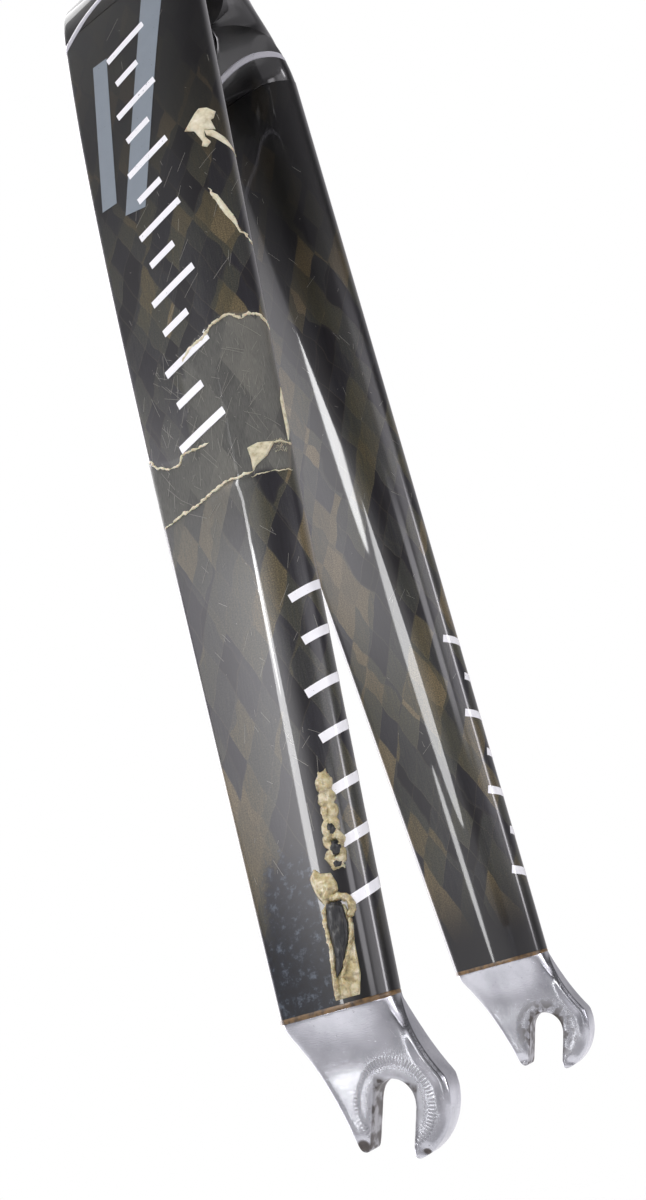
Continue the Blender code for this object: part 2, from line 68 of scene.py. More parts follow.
CROWN_RADIUS, ARCH_TOP, SEAT_RADIUS = 20.6 * MM, -28 * MM, 15.0 * MM
NOSE_DRIFT, SIDE_DRIFT = 0.044, 0.07
LEG_TOP = 356 * MM                  # how far up the crown the flat places reach
BORE_DEPTH, BORE_MIDDLE = 110 * MM, -35 * MM

# Fineness of the legs' skins
NOSE_COLUMNS, FLANK_COLUMNS, CORNER_COLUMNS = 20, 22, 6
ROW_PITCH = 1.25 * MM


# ---------------------------------------------------------------- small sums

def mix(a, b, t):
    return a + (b - a) * t


def smooth(t):
    t = np.clip(t, 0.0, 1.0)
    return t * t * (3 - 2 * t)


def colour(red, green, blue):
    """Linear colour from the 0 to 255 values of a paint chart."""
    return tuple(((c / 255 + 0.055) / 1.055) ** 2.4 if c > 10 else c / 255 / 12.92
                 for c in (red, green, blue)) + (1.0,)


# ---------------------------------------------------------------- node trees

class Wire:
    """A node's output that takes part in sums: each operator adds a Math node to its tree."""

    def __init__(self, bench, socket):
        self.bench = bench
        self.socket = socket

    def floor(self):
        return self.bench.maths("FLOOR", self)

    def step(self, low, high):
        """0 below low, 1 above high, smooth between them."""
        return self.bench.node("ShaderNodeMapRange", {"interpolation_type": "SMOOTHSTEP"},
                               {"Value": self, "From Min": low, "From Max": high})["Result"]


def operator(operation, swapped=False):
    """A wire's method that adds one Math node."""
    if swapped:
        return lambda wire, other: wire.bench.maths(operation, other, wire)
    return lambda wire, other: wire.bench.maths(operation, wire, other)


for sign, operation in (("add", "ADD"), ("radd", "ADD"), ("sub", "SUBTRACT"), ("mul", "MULTIPLY"),
                        ("rmul", "MULTIPLY"), ("truediv", "DIVIDE"), ("mod", "FLOORED_MODULO"),
                        ("gt", "GREATER_THAN")):
    setattr(Wire, "__%s__" % sign, operator(operation))
Wire.__rsub__ = operator("SUBTRACT", swapped=True)


class Made:
    """A node whose outputs are read as wires."""

    def __init__(self, bench, node):
        self.bench = bench
        self.node = node

    def __getitem__(self, key):
        return Wire(self.bench, self.node.outputs[key])


class Bench:
    """Builds one node tree."""

    def __init__(self, tree):
        self.tree = tree

    def node(self, kind, settings=None, values=None):
        """Add a node: its settings first, then the values or wires of its sockets."""
        made = self.tree.nodes.new(kind)
        for name, value in (settings or {}).items():
            if name == "stops":
                self.set_stops(made.color_ramp, value)
            else:
                setattr(made, name, value)
        for key, value in (values or {}).items():
            if isinstance(value, Wire):
                self.tree.links.new(value.socket, made.inputs[key])
            else:
                made.inputs[key].default_value = value
        return Made(self, made)

    @staticmethod
    def set_stops(ramp, stops):
        while len(ramp.elements) < len(stops):
            ramp.elements.new(0.5)
        for element, (position, shade) in zip(ramp.elements, stops):
            element.position = position
            element.color = shade

    def maths(self, operation, *values):
        return self.node("ShaderNodeMath", {"operation": operation}, dict(enumerate(values)))[0]

    def vector(self, operation, *values):
        return self.node("ShaderNodeVectorMath", {"operation": operation}, dict(enumerate(values)))[0]

    def point(self, x=0.0, y=0.0, z=0.0):
        return self.node("ShaderNodeCombineXYZ", {}, {0: x, 1: y, 2: z})[0]

    def parts(self, vector):
        made = self.node("ShaderNodeSeparateXYZ", {}, {0: vector})
        return made[0], made[1], made[2]


class Finish(Bench):
    """A material on one Principled shader."""

    def __init__(self, name, **constants):
        self.material = bpy.data.materials.new(name)
        self.material.use_nodes = True
        super().__init__(self.material.node_tree)
        self.shader = self.tree.nodes["Principled BSDF"]
        for key, value in constants.items():
            self.shader.inputs[key.replace("_", " ").title()].default_value = value

    def feed(self, **wires):
        for key, wire in wires.items():
            self.tree.links.new(wire.socket, self.shader.inputs[key.replace("_", " ").title()])

    def place(self):
        return self.node("ShaderNodeTexCoord")["Object"]

    def flat(self):
        """The place on a leg, u and s in millimetres."""
        u, s, _ = self.parts(self.node("ShaderNodeUVMap", {"uv_map": "flat"})[0])
        return u * 1000, s * 1000

    def cloud(self, vector, scale, detail=3.0, roughness=0.5):
        values = {"Vector": vector, "Scale": scale, "Detail": detail, "Roughness": roughness}
        return self.node("ShaderNodeTexNoise", {}, values)[0]

    def ramp(self, amount, *stops):
        """Colour ramp through (position, colour) stops."""
        return self.node("ShaderNodeValToRGB", {"stops": stops}, {0: amount})[0]

    def blend(self, amount, first, second):
        return self.node("ShaderNodeMix", {"data_type": "RGBA"}, {0: amount, 6: first, 7: second})[2]

    def bump(self, height, distance):
        values = {"Height": height, "Distance": distance, "Strength": 1.0}
        return self.node("ShaderNodeBump", {}, values)["Normal"]

    def attribute(self, name):
        return self.node("ShaderNodeAttribute", {"attribute_name": name})["Fac"]


class Recipe(Bench):
    """A Geometry Nodes tree with named inputs, run on an object to make a plain mesh."""

    def __init__(self, name, **inputs):
        tree = bpy.data.node_groups.new(name, "GeometryNodeTree")
        super().__init__(tree)
        self.sockets = {}
        tree.interface.new_socket("Geometry", in_out="INPUT", socket_type="NodeSocketGeometry")
        tree.interface.new_socket("Geometry", in_out="OUTPUT", socket_type="NodeSocketGeometry")
        for key, kind in inputs.items():
            item = tree.interface.new_socket(key, in_out="INPUT", socket_type="NodeSocket" + kind)
            self.sockets[key] = item.identifier
        self.given = self.node("NodeGroupInput")

    def here(self):
        return self.node("GeometryNodeInputPosition")[0]

    def moved(self, geometry, by, way="Offset"):
        return self.node("GeometryNodeSetPosition", {}, {"Geometry": geometry, way: by})[0]

    def scaled(self, vector, amount):
        return self.node("ShaderNodeVectorMath", {"operation": "SCALE"}, {0: vector, "Scale": amount})[0]

    def random(self, low, high, seed):
        """A random number, or vector, for each point."""
        kind, first, found = ("FLOAT", 2, 1) if isinstance(low, float) else ("FLOAT_VECTOR", 0, 0)
        values = {first: low, first + 1: high, "Seed": seed}
        return self.node("FunctionNodeRandomValue", {"data_type": kind}, values)[found]

    def finish(self, geometry):
        """Make the geometry real, give it the finish and end the tree."""
        whole = self.node("GeometryNodeRealizeInstances", {}, {0: geometry})[0]
        finish = self.given["Finish"]
        dressed = self.node("GeometryNodeSetMaterial", {}, {"Geometry": whole, "Material": finish})[0]
        self.node("NodeGroupOutput", {"is_active_output": True}, {0: dressed})

    def make(self, name, mesh, finish, **values):
        """Run the tree on a mesh, and keep the result as a new plain object."""
        source = new_object(name + ".source", mesh)
        modifier = source.modifiers.new("recipe", "NODES")
        modifier.node_group = self.tree
        modifier[self.sockets["Finish"]] = finish
        for key, value in values.items():
            modifier[self.sockets[key]] = value
        made = settled(source, name)
        made.data.materials.clear()
        made.data.materials.append(finish)
        return made


# ---------------------------------------------------------------- objects and meshes

def new_object(name, mesh):
    obj = bpy.data.objects.new(name, mesh)
    bpy.context.scene.collection.objects.link(obj)
    return obj


def settled(source, name):
    """Replace an object by a plain mesh of what its modifiers make."""
    bpy.context.view_layer.update()
    seen = source.evaluated_get(bpy.context.evaluated_depsgraph_get())
    mesh = bpy.data.meshes.new_from_object(seen)
    mesh.name = name
    bpy.data.objects.remove(source, do_unlink=True)
    return new_object(name, mesh)


def mesh_of(name, points, faces, sharp=None):
    mesh = bpy.data.meshes.new(name)
    mesh.from_pydata([tuple(p) for p in points], [], faces)
    mesh.shade_smooth()
    if sharp:
        mesh.set_sharp_from_angle(angle=radians(sharp))
    return mesh


def from_bmesh(name, bm, sharp=35):
    bmesh.ops.remove_doubles(bm, verts=bm.verts, dist=1e-7)
    bmesh.ops.recalc_face_normals(bm, faces=bm.faces)
    mesh = bpy.data.meshes.new(name)
    bm.to_mesh(mesh)
    bm.free()
    mesh.shade_smooth()
    mesh.set_sharp_from_angle(angle=radians(sharp))
    return mesh


def keep(piece, finish, slot, *nodes, body=FORK):
    """Give a finished piece its material, its body and the nodes that it stands for."""
    piece.data.materials.clear()
    piece.data.materials.append(finish)
    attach(piece, body)
    if nodes:
        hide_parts(*nodes)
    return piece


def combine(obj, operation, other):
    modifier = obj.modifiers.new(operation.lower(), "BOOLEAN")
    modifier.operation = operation
    modifier.solver = "MANIFOLD"
    modifier.object = other


# ---------------------------------------------------------------- the legs' section and places

def half_section(length, thick, nose, radius, inset=0.0):
    """Outer half of the section as arrays (along, across), leading edge first."""
    half, front = thick / 2 - inset, nose - inset
    tail, corner = inset - length, max(radius - inset, 0.4 * MM)
    tail_half = half * mix(1.0, TAIL_THIN, (-nose - tail) / (length - nose))
    round_nose = np.linspace(0, pi / 2, NOSE_COLUMNS + 1)
    flank = np.linspace(0, 1, FLANK_COLUMNS + 1)[1:]
    turn = np.linspace(pi / 2, pi, CORNER_COLUMNS + 1)[1:]
    along = np.concatenate([front * np.cos(round_nose) - nose, mix(-nose, tail + corner, flank),
                            tail + corner + corner * np.cos(turn), [tail]])
    swell = FLANK_CROWN * 4 * flank * (1 - flank)
    across = np.concatenate([half * np.sin(round_nose), mix(half, tail_half, flank) + swell,
                             tail_half - corner + corner * np.sin(turn), [0.0]])
    return along, across


def whole_section(*sizes, **more):
    """The section from the tail round the inner flank, the nose and the outer flank to the tail."""
    along, across = half_section(*sizes, **more)
    girth = np.concatenate([[0], np.cumsum(np.hypot(np.diff(along), np.diff(across)))])
    back = slice(None, 0, -1)
    return (np.concatenate([along[back], along]), np.concatenate([-across[back], across]),
            np.concatenate([-girth[back], girth]))


def round_angles():
    """Where each point of the section goes when the section turns into an ellipse."""
    nose = np.linspace(0, 90, NOSE_COLUMNS + 1)
    flank = np.linspace(90, 101.25, FLANK_COLUMNS + 1)[1:]
    turn = np.linspace(101.25, 168.75, CORNER_COLUMNS + 1)[1:]
    half = np.radians(np.concatenate([nose, flank, turn, [180]]))
    return np.concatenate([-half[:0:-1], half])


def chord(s):
    t = s / BLADE_LENGTH
    return mix(CHORD_FOOT, CHORD_TOP, 1.2 * t - 0.2 * t ** 5)


def thickness(s):
    return mix(THICK_FOOT, THICK_TOP, s / BLADE_LENGTH)


def spread(s):
    t = s / BLADE_LENGTH
    return mix(SPREAD_FOOT, SPREAD_TOP, t) + SPREAD_BOW * 4 * t * (1 - t)


def nose_line(s):
    return CHORD_FOOT / 2 + NOSE_ADVANCE * s


def slot_frame(x, z):
    """From the axle-centred frame that hangs with the slots to the fork's own frame."""
    return (RAKE + x * cos(SLOT_TILT) + z * sin(SLOT_TILT),
            -AXLE_TO_CROWN - x * sin(SLOT_TILT) + z * cos(SLOT_TILT))


def foot_frame(s, along):
    """From distances up the blade and forward across it to the slot frame."""
    return (-FOOT_BACK - s * sin(BLADE_LEAN) + along * cos(BLADE_LEAN),
            FOOT_UP + s * cos(BLADE_LEAN) + along * sin(BLADE_LEAN))


def blade_row(s, side, inset=0.0, at=None):
    """Points round the blade at s, and how far round each one is."""
    sizes = chord(s), thickness(s), NOSE_SHARE * chord(s), TAIL_RADIUS
    along, across, girth = whole_section(*sizes, inset=inset)
    x, z = slot_frame(*foot_frame(s if at is None else at, nose_line(s) + along))
    return np.stack([x, side * (spread(s) + across), z], axis=1), girth


class CrownLeg:
    """One leg of the crown: where it leaves the blade and how its sizes run up to the race seat."""

    def __init__(self, foot):
        points, _ = blade_row(foot, 1)
        self.level = np.mean([points[:, 2].min(), points[:, 2].max()])
        self.front, self.back = points[:, 0].max(), points[:, 0].min()
        self.inner = spread(foot) - thickness(foot) / 2
        self.outer = spread(foot) + thickness(foot) / 2

    def share(self, level):
        return 1 - level / self.level

    def row(self, level, inner, side=1):
        ease = smooth((self.share(level) - 0.55) / 0.45)
        drift = self.level - level
        front = mix(self.front + NOSE_DRIFT * drift, CROWN_RADIUS, ease)
        back = mix(self.back + NOSE_DRIFT * drift, -CROWN_RADIUS, ease)
        outer = self.outer_at(level)
        length, thick = front - back, outer - inner
        roundness = smooth((self.share(level) - 0.35) / 0.65)
        tail = TAIL_RADIUS * (1 + 2 * roundness)
        along, across, _ = whole_section(length, thick, NOSE_SHARE * length, tail)
        angles = round_angles()
        x = mix(front + along, (front + back + length * np.cos(angles)) / 2, roundness)
        y = (outer + inner) / 2 + mix(across, thick / 2 * np.sin(angles), roundness)
        return np.stack([x, side * y, np.full_like(x, level)], axis=1)

    def outer_at(self, level):
        drift = self.level - level
        return mix(self.outer + SIDE_DRIFT * drift, CROWN_RADIUS, smooth((self.share(level) - 0.4) / 0.6))

    def rows(self, side):
        """From the blade's end up over the arch to the race seat."""
        turns = np.linspace(0, pi / 2, 15)[1:]
        rows = [self.row(mix(self.level, ARCH_TOP, sin(t)), self.inner * cos(t), side) for t in turns]
        for share in np.linspace(0, 1, 25)[1:]:
            level = mix(ARCH_TOP, 0.0, share)
            rows.append(self.row(level, -self.outer_at(level) * smooth(share / 0.4), side))
        return rows


def outward_normals(grid):
    """Unit normals of a grid of rows round a leg, pointing out of it."""
    round_it = np.gradient(grid, axis=1)
    up_it = np.gradient(grid, axis=0)
    normal = np.cross(round_it, up_it)
    normal /= np.linalg.norm(normal, axis=2, keepdims=True) + 1e-12
    away = grid - grid.mean(axis=1, keepdims=True)
    return normal * np.sign((normal * away).sum(axis=2).mean())


def tube_mesh(name, rows, flat, closed):
    """Skin over rows of points that run round a leg; the first and last column are the same place."""
    rows = np.asarray(rows)
    count = rows.shape[1] - 1
    corners, charts = [], []
    total = len(rows)
    for i in range(total if closed else total - 1):
        k = (i + 1) % total
        for j in range(count):
            n = (j + 1) % count
            corners.append((i * count + j, i * count + n, k * count + n, k * count + j))
            charts += [flat[i][j], flat[i][j + 1], flat[k][j + 1], flat[k][j]]
    if not closed:
        for i in (0, total - 1):
            corners.append(tuple(i * count + j for j in range(count)))
            charts += list(flat[i][:count])
    mesh = mesh_of(name, rows[:, :count].reshape(-1, 3), corners)
    layer = mesh.uv_layers.new(name="flat")
    layer.data.foreach_set("uv", np.asarray(charts, dtype=float).ravel())
    return face_outwards(mesh)


def face_outwards(mesh, sharp=35):
    bm = bmesh.new()
    bm.from_mesh(mesh)
    bmesh.ops.recalc_face_normals(bm, faces=bm.faces)
    bm.to_mesh(mesh)
    bm.free()
    mesh.shade_smooth()
    mesh.set_sharp_from_angle(angle=radians(sharp))
    return mesh


def flat_places(girths, heights):
    return [np.stack([g, np.full_like(g, h)], axis=1) for g, h in zip(girths, heights)]


# ---------------------------------------------------------------- damage on the right blade

# Cracks as (u, s) in millimetres, and the bare band of laminate between them
UPPER_CRACK = ((28.5, 174.5), (25, 177.5), (20, 178.5), (17, 181), (11, 182), (7.5, 179.5), (6, 180.5),
               (3, 180), (0.5, 177.5), (-1, 175))
LOWER_CRACK = ((42.5, 129), (38.5, 130), (28, 131), (25, 132), (20, 133), (12, 132))
SIDE_CRACK = ((45.5, 151), (44, 150.5), (41.5, 147.5), (38, 145.5), (34, 145), (33, 147), (23.5, 146.5))
NOSE_SPLIT = ((10.5, 227), (7.5, 218.5), (5, 215), (4, 210), (1.5, 207.5), (-1, 204.5))
SCUFF_ROOF = ((-6, 176), (-1, 176), (3, 180), (11, 182), (17, 181), (23, 178), (28, 175), (29.5, 147.3),
              (35, 145), (41, 147.5), (46, 151))
SCUFF_SILL = ((-6, 130), (0, 130), (12, 132), (20, 133), (28, 131), (35, 130), (43, 129))


def scuff_and_sheen_at(u, s):
    """How far the right blade's lacquer is rubbed off at a place, from 0 to 1, and below the lower crack a
    dulled patch whose lighter colour is a painted sheen; arrays in metres.
    """
    u, s = u / MM, s / MM
    roof = np.interp(u, *zip(*SCUFF_ROOF))
    sill = np.interp(u, *zip(*SCUFF_SILL))
    inside = smooth((roof - s) / 0.8 + 0.5) * smooth((s - sill) / 0.8 + 0.5)
    # A dulled patch fading down from the lower crack; the lighter colour it brings in is a painted sheen.
    sheen_below_crack = 0.6 * smooth((s - 100) / 30) * smooth((132 - s) / 2) * smooth((u - 10) / 6)
    return np.maximum(inside * smooth((u + 1.5) / 4.0), sheen_below_crack)


def stained(u, s):
    """Blue-black blotches low on the right blade."""
    u, s = u / MM, s / MM
    heart = smooth((u - 13) / 5) * smooth((34 - u) / 9) * smooth((44 - s) / 20)
    return np.maximum(heart, 0.7 * smooth((26 - s) / 18) * smooth((u - 12) / 5))


def make_blade_skin(label, side, finish):
    """Hollow blade: a fine outer skin, coarser inner wall and closed ends."""
    low, high = BOND / 2 + GAP, BLADE_LENGTH - GAP / 2
    heights = np.linspace(low, high, int((high - low) / ROW_PITCH))
    rows, girths = zip(*(blade_row(s, side) for s in heights))
    grid, girths = np.array(rows), np.array(girths)
    lifted = np.repeat(heights[:, None], grid.shape[1], axis=1)
    masks = {"scuff": np.zeros_like(girths), "stain": np.zeros_like(girths)}
    if label == "right":
        # The right blade's mask: lacquer rubbed through, and the painted sheen below the lower crack.
        masks = {"scuff": scuff_and_sheen_at(girths, lifted), "stain": stained(girths, lifted)}
        fray = np.array([[noise.noise((u * 900, s * 260, 0)) for u, s in zip(gu, gs)]
                         for gu, gs in zip(girths, lifted)])
        depth = masks["scuff"] * (0.16 + 0.05 * fray) * MM
        grid = grid - outward_normals(grid) * depth[:, :, None]
    inner_heights = np.linspace(high, low, 14)
    inner = [blade_row(s, side, inset=BLADE_WALL)[0] for s in inner_heights]
    flat = flat_places(girths, heights)
    flat += [f + (1.0, 0.0) for f in flat_places([girths[0]] * 14, inner_heights)]
    mesh = tube_mesh("blade_%s_skin" % label, list(grid) + inner, flat, closed=True)
    for name, values in masks.items():
        layer = mesh.attributes.new(name, "FLOAT", "POINT")
        full = np.zeros(len(mesh.vertices))
        outer = values[:, :-1].ravel()
        full[:len(outer)] = outer
        layer.data.foreach_set("value", full)
    return keep(new_object(mesh.name, mesh), finish, "carbon", "blade_" + label)


def make_leg_chart(label, side):
    """Skin of a whole leg, blade and crown, on which flat shapes are laid; removed at the end."""
    heights = np.linspace(0, BLADE_LENGTH, int(BLADE_LENGTH / ROW_PITCH) + 1)
    rows, girths = zip(*(blade_row(s, side) for s in heights))
    rows, girths, climbs = list(rows), list(girths), [np.full(len(girths[0]), s) for s in heights]
    add_crown_rows(rows, girths, climbs, side)
    flat = [np.stack([g, c], axis=1) for g, c in zip(girths, climbs)]
    count = sum(1 for c in climbs if c.mean() < LEG_TOP)
    mesh = tube_mesh("leg_chart_" + label, rows[:count], flat[:count], closed=False)
    return new_object(mesh.name, mesh)


def add_crown_rows(rows, girths, climbs, side):
    """Carry the rows, their girths and their climbs on up the crown's leg."""
    for row in CrownLeg(BLADE_LENGTH + GAP / 2).rows(side):
        along = np.linalg.norm(np.diff(row, axis=0), axis=1)
        girth = np.concatenate([[0], np.cumsum(along)])
        girths.append(girth - girth[len(girth) // 2])
        climbs.append(climbs[-1] + np.linalg.norm(row - rows[-1], axis=1))
        rows.append(row)


def make_crown_skin(finish):
    """Both legs of the crown and the race seat over them, bored for the steerer."""
    foot = BLADE_LENGTH + GAP / 2
    inset = BLADE_WALL + GAP
    tip = foot - TENON_LENGTH
    steps = ((tip, inset + 0.6 * MM, None), (tip + 2 * MM, inset, None), (foot - 0.05 * MM, inset, foot),
             (foot, 0.0, None))
    rows, girths = zip(*(blade_row(s, 1, inset=cut, at=at) for s, cut, at in steps))
    rows, girths, climbs = list(rows), list(girths), [np.full(len(girths[0]), foot) for _ in steps]
    add_crown_rows(rows, girths, climbs, 1)
    flat = [np.stack([g, c], axis=1) for g, c in zip(girths, climbs)]
    mesh = tube_mesh("crown_skin", rows, flat, closed=False)
    bm = bmesh.new()
    bm.from_mesh(mesh)
    bmesh.ops.triangulate(bm, faces=[f for f in bm.faces if len(f.verts) == 4])
    bmesh.ops.bisect_plane(bm, geom=bm.verts[:] + bm.edges[:] + bm.faces[:], dist=1e-7,
                           plane_co=(0, 0, 0), plane_no=(0, 1, 0), clear_inner=True)
    bmesh.ops.mirror(bm, geom=bm.verts[:] + bm.edges[:] + bm.faces[:], matrix=Matrix.Identity(4),
                     merge_dist=1e-6, axis="Y")
    crown = new_object("crown_skin", from_bmesh("crown_skin", bm))
    hole = SEAT_RADIUS + GAP
    bore = bmesh.new()
    bmesh.ops.create_cone(bore, cap_ends=True, segments=96, radius1=hole, radius2=hole, depth=BORE_DEPTH,
                          matrix=Matrix.Translation((0, 0, BORE_MIDDLE)))
    cutter = new_object("crown_bore", from_bmesh("crown_bore", bore))
    combine(crown, "DIFFERENCE", cutter)
    crown = settled(crown, "crown_skin")
    bpy.data.objects.remove(cutter)
    return keep(crown, finish, "carbon", "crown")


# ---------------------------------------------------------------- turned pieces

def spun(profile, facets=112):
    """Spin a closed (radius, height) outline about the steering axis."""
    bm = bmesh.new()
    verts = [bm.verts.new((radius, 0, height)) for radius, height in profile]
    edges = [bm.edges.new((verts[i - 1], verts[i])) for i in range(len(verts))]
    bmesh.ops.spin(bm, geom=verts + edges, cent=(0, 0, 0), axis=(0, 0, 1), dvec=(0, 0, 0),
                   angle=2 * pi, steps=facets, use_merge=True)
    bmesh.ops.dissolve_degenerate(bm, edges=bm.edges, dist=1e-8)
    return from_bmesh("turned", bm, 40)


def profile_of(node):
    """The (radius, height) outline that a turned node was spun from, read off its mesh at one side."""
    bm = bmesh.new()
    bm.from_mesh(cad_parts[node].data)
    bmesh.ops.remove_doubles(bm, verts=bm.verts, dist=2e-6)
    on_side = [v for v in bm.verts if abs(v.co.y) < 5e-6 and v.co.x < 1e-5]
    chosen = set(on_side)
    start = min(on_side, key=lambda v: (v.co.z, -v.co.x))
    outline, last, here = [start], None, start
    while True:
        ways = [e.other_vert(here) for e in here.link_edges if e.other_vert(here) in chosen]
        ways = [v for v in ways if v is not last and (v is start or v not in outline)]
        if not ways or ways[0] is start:
            break
        last, here = here, ways[0]
        outline.append(here)
    points = [(abs(v.co.x), v.co.z) for v in outline]
    bm.free()
    return points


def eased(points, radius, steps=3):
    """Round every corner of a closed outline."""
    rounded = []
    for i, corner in enumerate(points):
        here, before, after = (Vector(p) for p in (corner, points[i - 1], points[(i + 1) % len(points)]))
        back, on = before - here, after - here
        cut = min(radius, back.length * 0.4, on.length * 0.4)
        if corner[0] < 1e-6 or back.length < 1e-9 or on.length < 1e-9:
            rounded.append(tuple(corner))
            continue
        start, end = here + back.normalized() * cut, here + on.normalized() * cut
        for k in range(steps + 1):
            t = k / steps
            rounded.append(tuple(start * (1 - t) ** 2 + here * 2 * t * (1 - t) + end * t * t))
    return rounded


def make_turned(node, finish, slot, radius=0.25 * MM, body=FORK):
    mesh = spun(eased(profile_of(node), radius))
    mesh.name = node + "_turned"
    return keep(new_object(mesh.name, mesh), finish, slot, node, body=body)


# ---------------------------------------------------------------- flat shapes laid on a leg

def lay_on_leg(g, shape):
    """Bend a flat shape, drawn as (u, s, height), on to the leg's skin."""
    skin = g.node("GeometryNodeObjectInfo", {}, {"Object": g.given["Leg"]})["Geometry"]
    u, s, height = g.parts(g.here())
    vectors = {"data_type": "FLOAT_VECTOR"}
    chart = g.node("GeometryNodeInputNamedAttribute", vectors, {"Name": "flat"})["Attribute"]
    found = []
    for kind in ("GeometryNodeInputPosition", "GeometryNodeInputNormal"):
        values = {"Mesh": skin, "Value": g.node(kind)[0], "Source UV Map": chart, "Sample UV": g.point(u, s)}
        found.append(g.node("GeometryNodeSampleUVSurface", vectors, values)["Value"])
    return g.moved(shape, g.vector("ADD", found[0], g.scaled(found[1], height)), "Position")


def line_recipe():
    """A ridge along a flat route: it wanders, swells and tapers out at both ends."""
    g = Recipe("laid_ridge", Leg="Object", Finish="Material", Width="Float", Height="Float",
               Wander="Float", Ragged="Float", Grain="Float", Taper="Float")
    width, height, wander, ragged, grain, taper = (g.given[k] for k in (
        "Width", "Height", "Wander", "Ragged", "Grain", "Taper"))
    route = g.node("GeometryNodeMeshToCurve", {}, {0: g.given["Geometry"]})[0]
    route = g.node("GeometryNodeResampleCurve", {"mode": "LENGTH"}, {"Curve": route, "Length": 0.3 * MM})[0]
    spot = g.here()
    drift = g.node("ShaderNodeTexNoise", {}, {"Vector": spot, "Scale": grain, "Detail": 4.0})
    dx, dy, _ = g.parts(drift[1])
    route = g.moved(route, g.point((dx - 0.5) * wander, (dy - 0.5) * wander))
    swell = g.node("ShaderNodeTexNoise", {}, {"Vector": spot, "Scale": grain * 1.7, "Detail": 3.0})[0]
    along = g.node("GeometryNodeSplineParameter")[0]
    ends = g.maths("MINIMUM", along, 1 - along) / taper
    ends = g.maths("MINIMUM", g.maths("MAXIMUM", ends, 0.04), 1.0)
    swollen = g.maths("MAXIMUM", 1 + (swell - 0.5) * ragged, 0.25)
    radius = width * 0.5 * ends * swollen
    route = g.node("GeometryNodeSetCurveRadius", {}, {"Curve": route, "Radius": radius})[0]
    rim = g.node("GeometryNodeCurvePrimitiveCircle", {}, {"Resolution": 9, "Radius": 1.0})[0]
    thick = g.node("GeometryNodeInputRadius")[0]
    tube = g.node("GeometryNodeCurveToMesh", {}, {
        "Curve": route, "Profile Curve": rim, "Fill Caps": True, "Scale": thick})[0]
    x, y, z = g.parts(g.here())
    ridge = g.moved(tube, g.point(x, y, z * (height / width) * 2), "Position")
    lump = g.node("ShaderNodeTexNoise", {}, {"Scale": grain * 2.5, "Detail": 2.0})[0]
    bulge = g.scaled(g.node("GeometryNodeInputNormal")[0], (lump - 0.5) * ragged * height * 0.6)
    g.finish(lay_on_leg(g, g.moved(ridge, bulge)))
    return g


def bar_recipe():
    """A column of thin printed bars, every other one shortened."""
    g = Recipe("printed_bars", Leg="Object", Finish="Material", Count="Int", Start="Vector", Step="Vector",
               Size="Vector", Slant="Float", Shorten="Float", Shift="Float")
    bar = g.node("GeometryNodeMeshCube", {}, {
        "Size": g.given["Size"], "Vertices X": 48, "Vertices Y": 9, "Vertices Z": 2})[0]
    spots = g.node("GeometryNodeMeshLine", {}, {
        "Count": g.given["Count"], "Start Location": g.given["Start"], "Offset": g.given["Step"]})[0]
    odd = g.node("GeometryNodeInputIndex")[0] % 2
    spots = g.moved(spots, g.point(odd * g.given["Shift"]))
    placed = g.node("GeometryNodeInstanceOnPoints", {}, {
        "Points": spots, "Instance": bar, "Rotation": g.point(0.0, 0.0, g.given["Slant"]),
        "Scale": g.point(1 - odd * g.given["Shorten"], 1.0, 1.0)})[0]
    g.finish(lay_on_leg(g, g.node("GeometryNodeRealizeInstances", {}, {0: placed})[0]))
    return g


def scatter(name, **inputs):
    """Start a recipe with points strewn over the patch of a leg between Low and High."""
    g = Recipe(name, Leg="Object", Finish="Material", Count="Int", Low="Vector", High="Vector", Seed="Int",
               **inputs)
    spot = g.random(g.given["Low"], g.given["High"], g.given["Seed"])
    values = {"Count": g.given["Count"], "Position": spot, "Radius": 0.0}
    return g, g.node("GeometryNodePoints", {}, values)[0]


def scratch_recipe():
    """Hair scratches scattered over a patch of a leg."""
    g, points = scatter("hair_scratches", Longest="Float")
    bar = g.node("GeometryNodeMeshCube", {}, {"Size": (1.0, 0.07 * MM, 0.05 * MM), "Vertices X": 10})[0]
    long, turn = g.random(0.15, 1.0, g.given["Seed"]), g.random(0.5, 2.4, 3)
    placed = g.node("GeometryNodeInstanceOnPoints", {}, {
        "Points": points, "Instance": bar, "Rotation": g.point(0.0, 0.0, turn),
        "Scale": g.point(long * long * g.given["Longest"], 1.0, 1.0)})[0]
    g.finish(lay_on_leg(g, g.node("GeometryNodeRealizeInstances", {}, {0: placed})[0]))
    return g


def fibre_recipe():
    """Broken fibre ends that stand up out of a patch of a leg."""
    g, points = scatter("broken_fibres", Length="Float")
    fibre = g.node("GeometryNodeMeshCylinder", {}, {
        "Vertices": 5, "Radius": 0.035 * MM, "Depth": g.given["Length"]})[0]
    turn = g.random((1.0, -0.9, 0.0), (2.1, 0.9, 1.2), g.given["Seed"])
    g.finish(g.node("GeometryNodeInstanceOnPoints", {}, {
        "Points": lay_on_leg(g, points), "Instance": fibre, "Rotation": turn})[0])
    return g


def sheet_recipe():
    """A flat mesh laid on a leg as it is."""
    g = Recipe("laid_sheet", Leg="Object", Finish="Material")
    g.finish(lay_on_leg(g, g.given["Geometry"]))
    return g


def empty_mesh():
    """Mesh for a recipe that makes its own geometry."""
    return bpy.data.meshes.new("blank")


def route_mesh(name, points):
    """A flat route through points given in millimetres."""
    mesh = bpy.data.meshes.new(name)
    links = [(i, i + 1) for i in range(len(points) - 1)]
    mesh.from_pydata([(u * MM, s * MM, 0) for u, s in points], links, [])
    return mesh


def inside_outline(x, y, outline):
    inside = np.zeros(np.shape(x), bool)
    for (ax, ay), (bx, by) in zip(outline, outline[1:] + outline[:1]):
        if ay != by:
            inside ^= ((ay > y) != (by > y)) & (x < (bx - ax) * (y - ay) / (by - ay) + ax)
    return inside


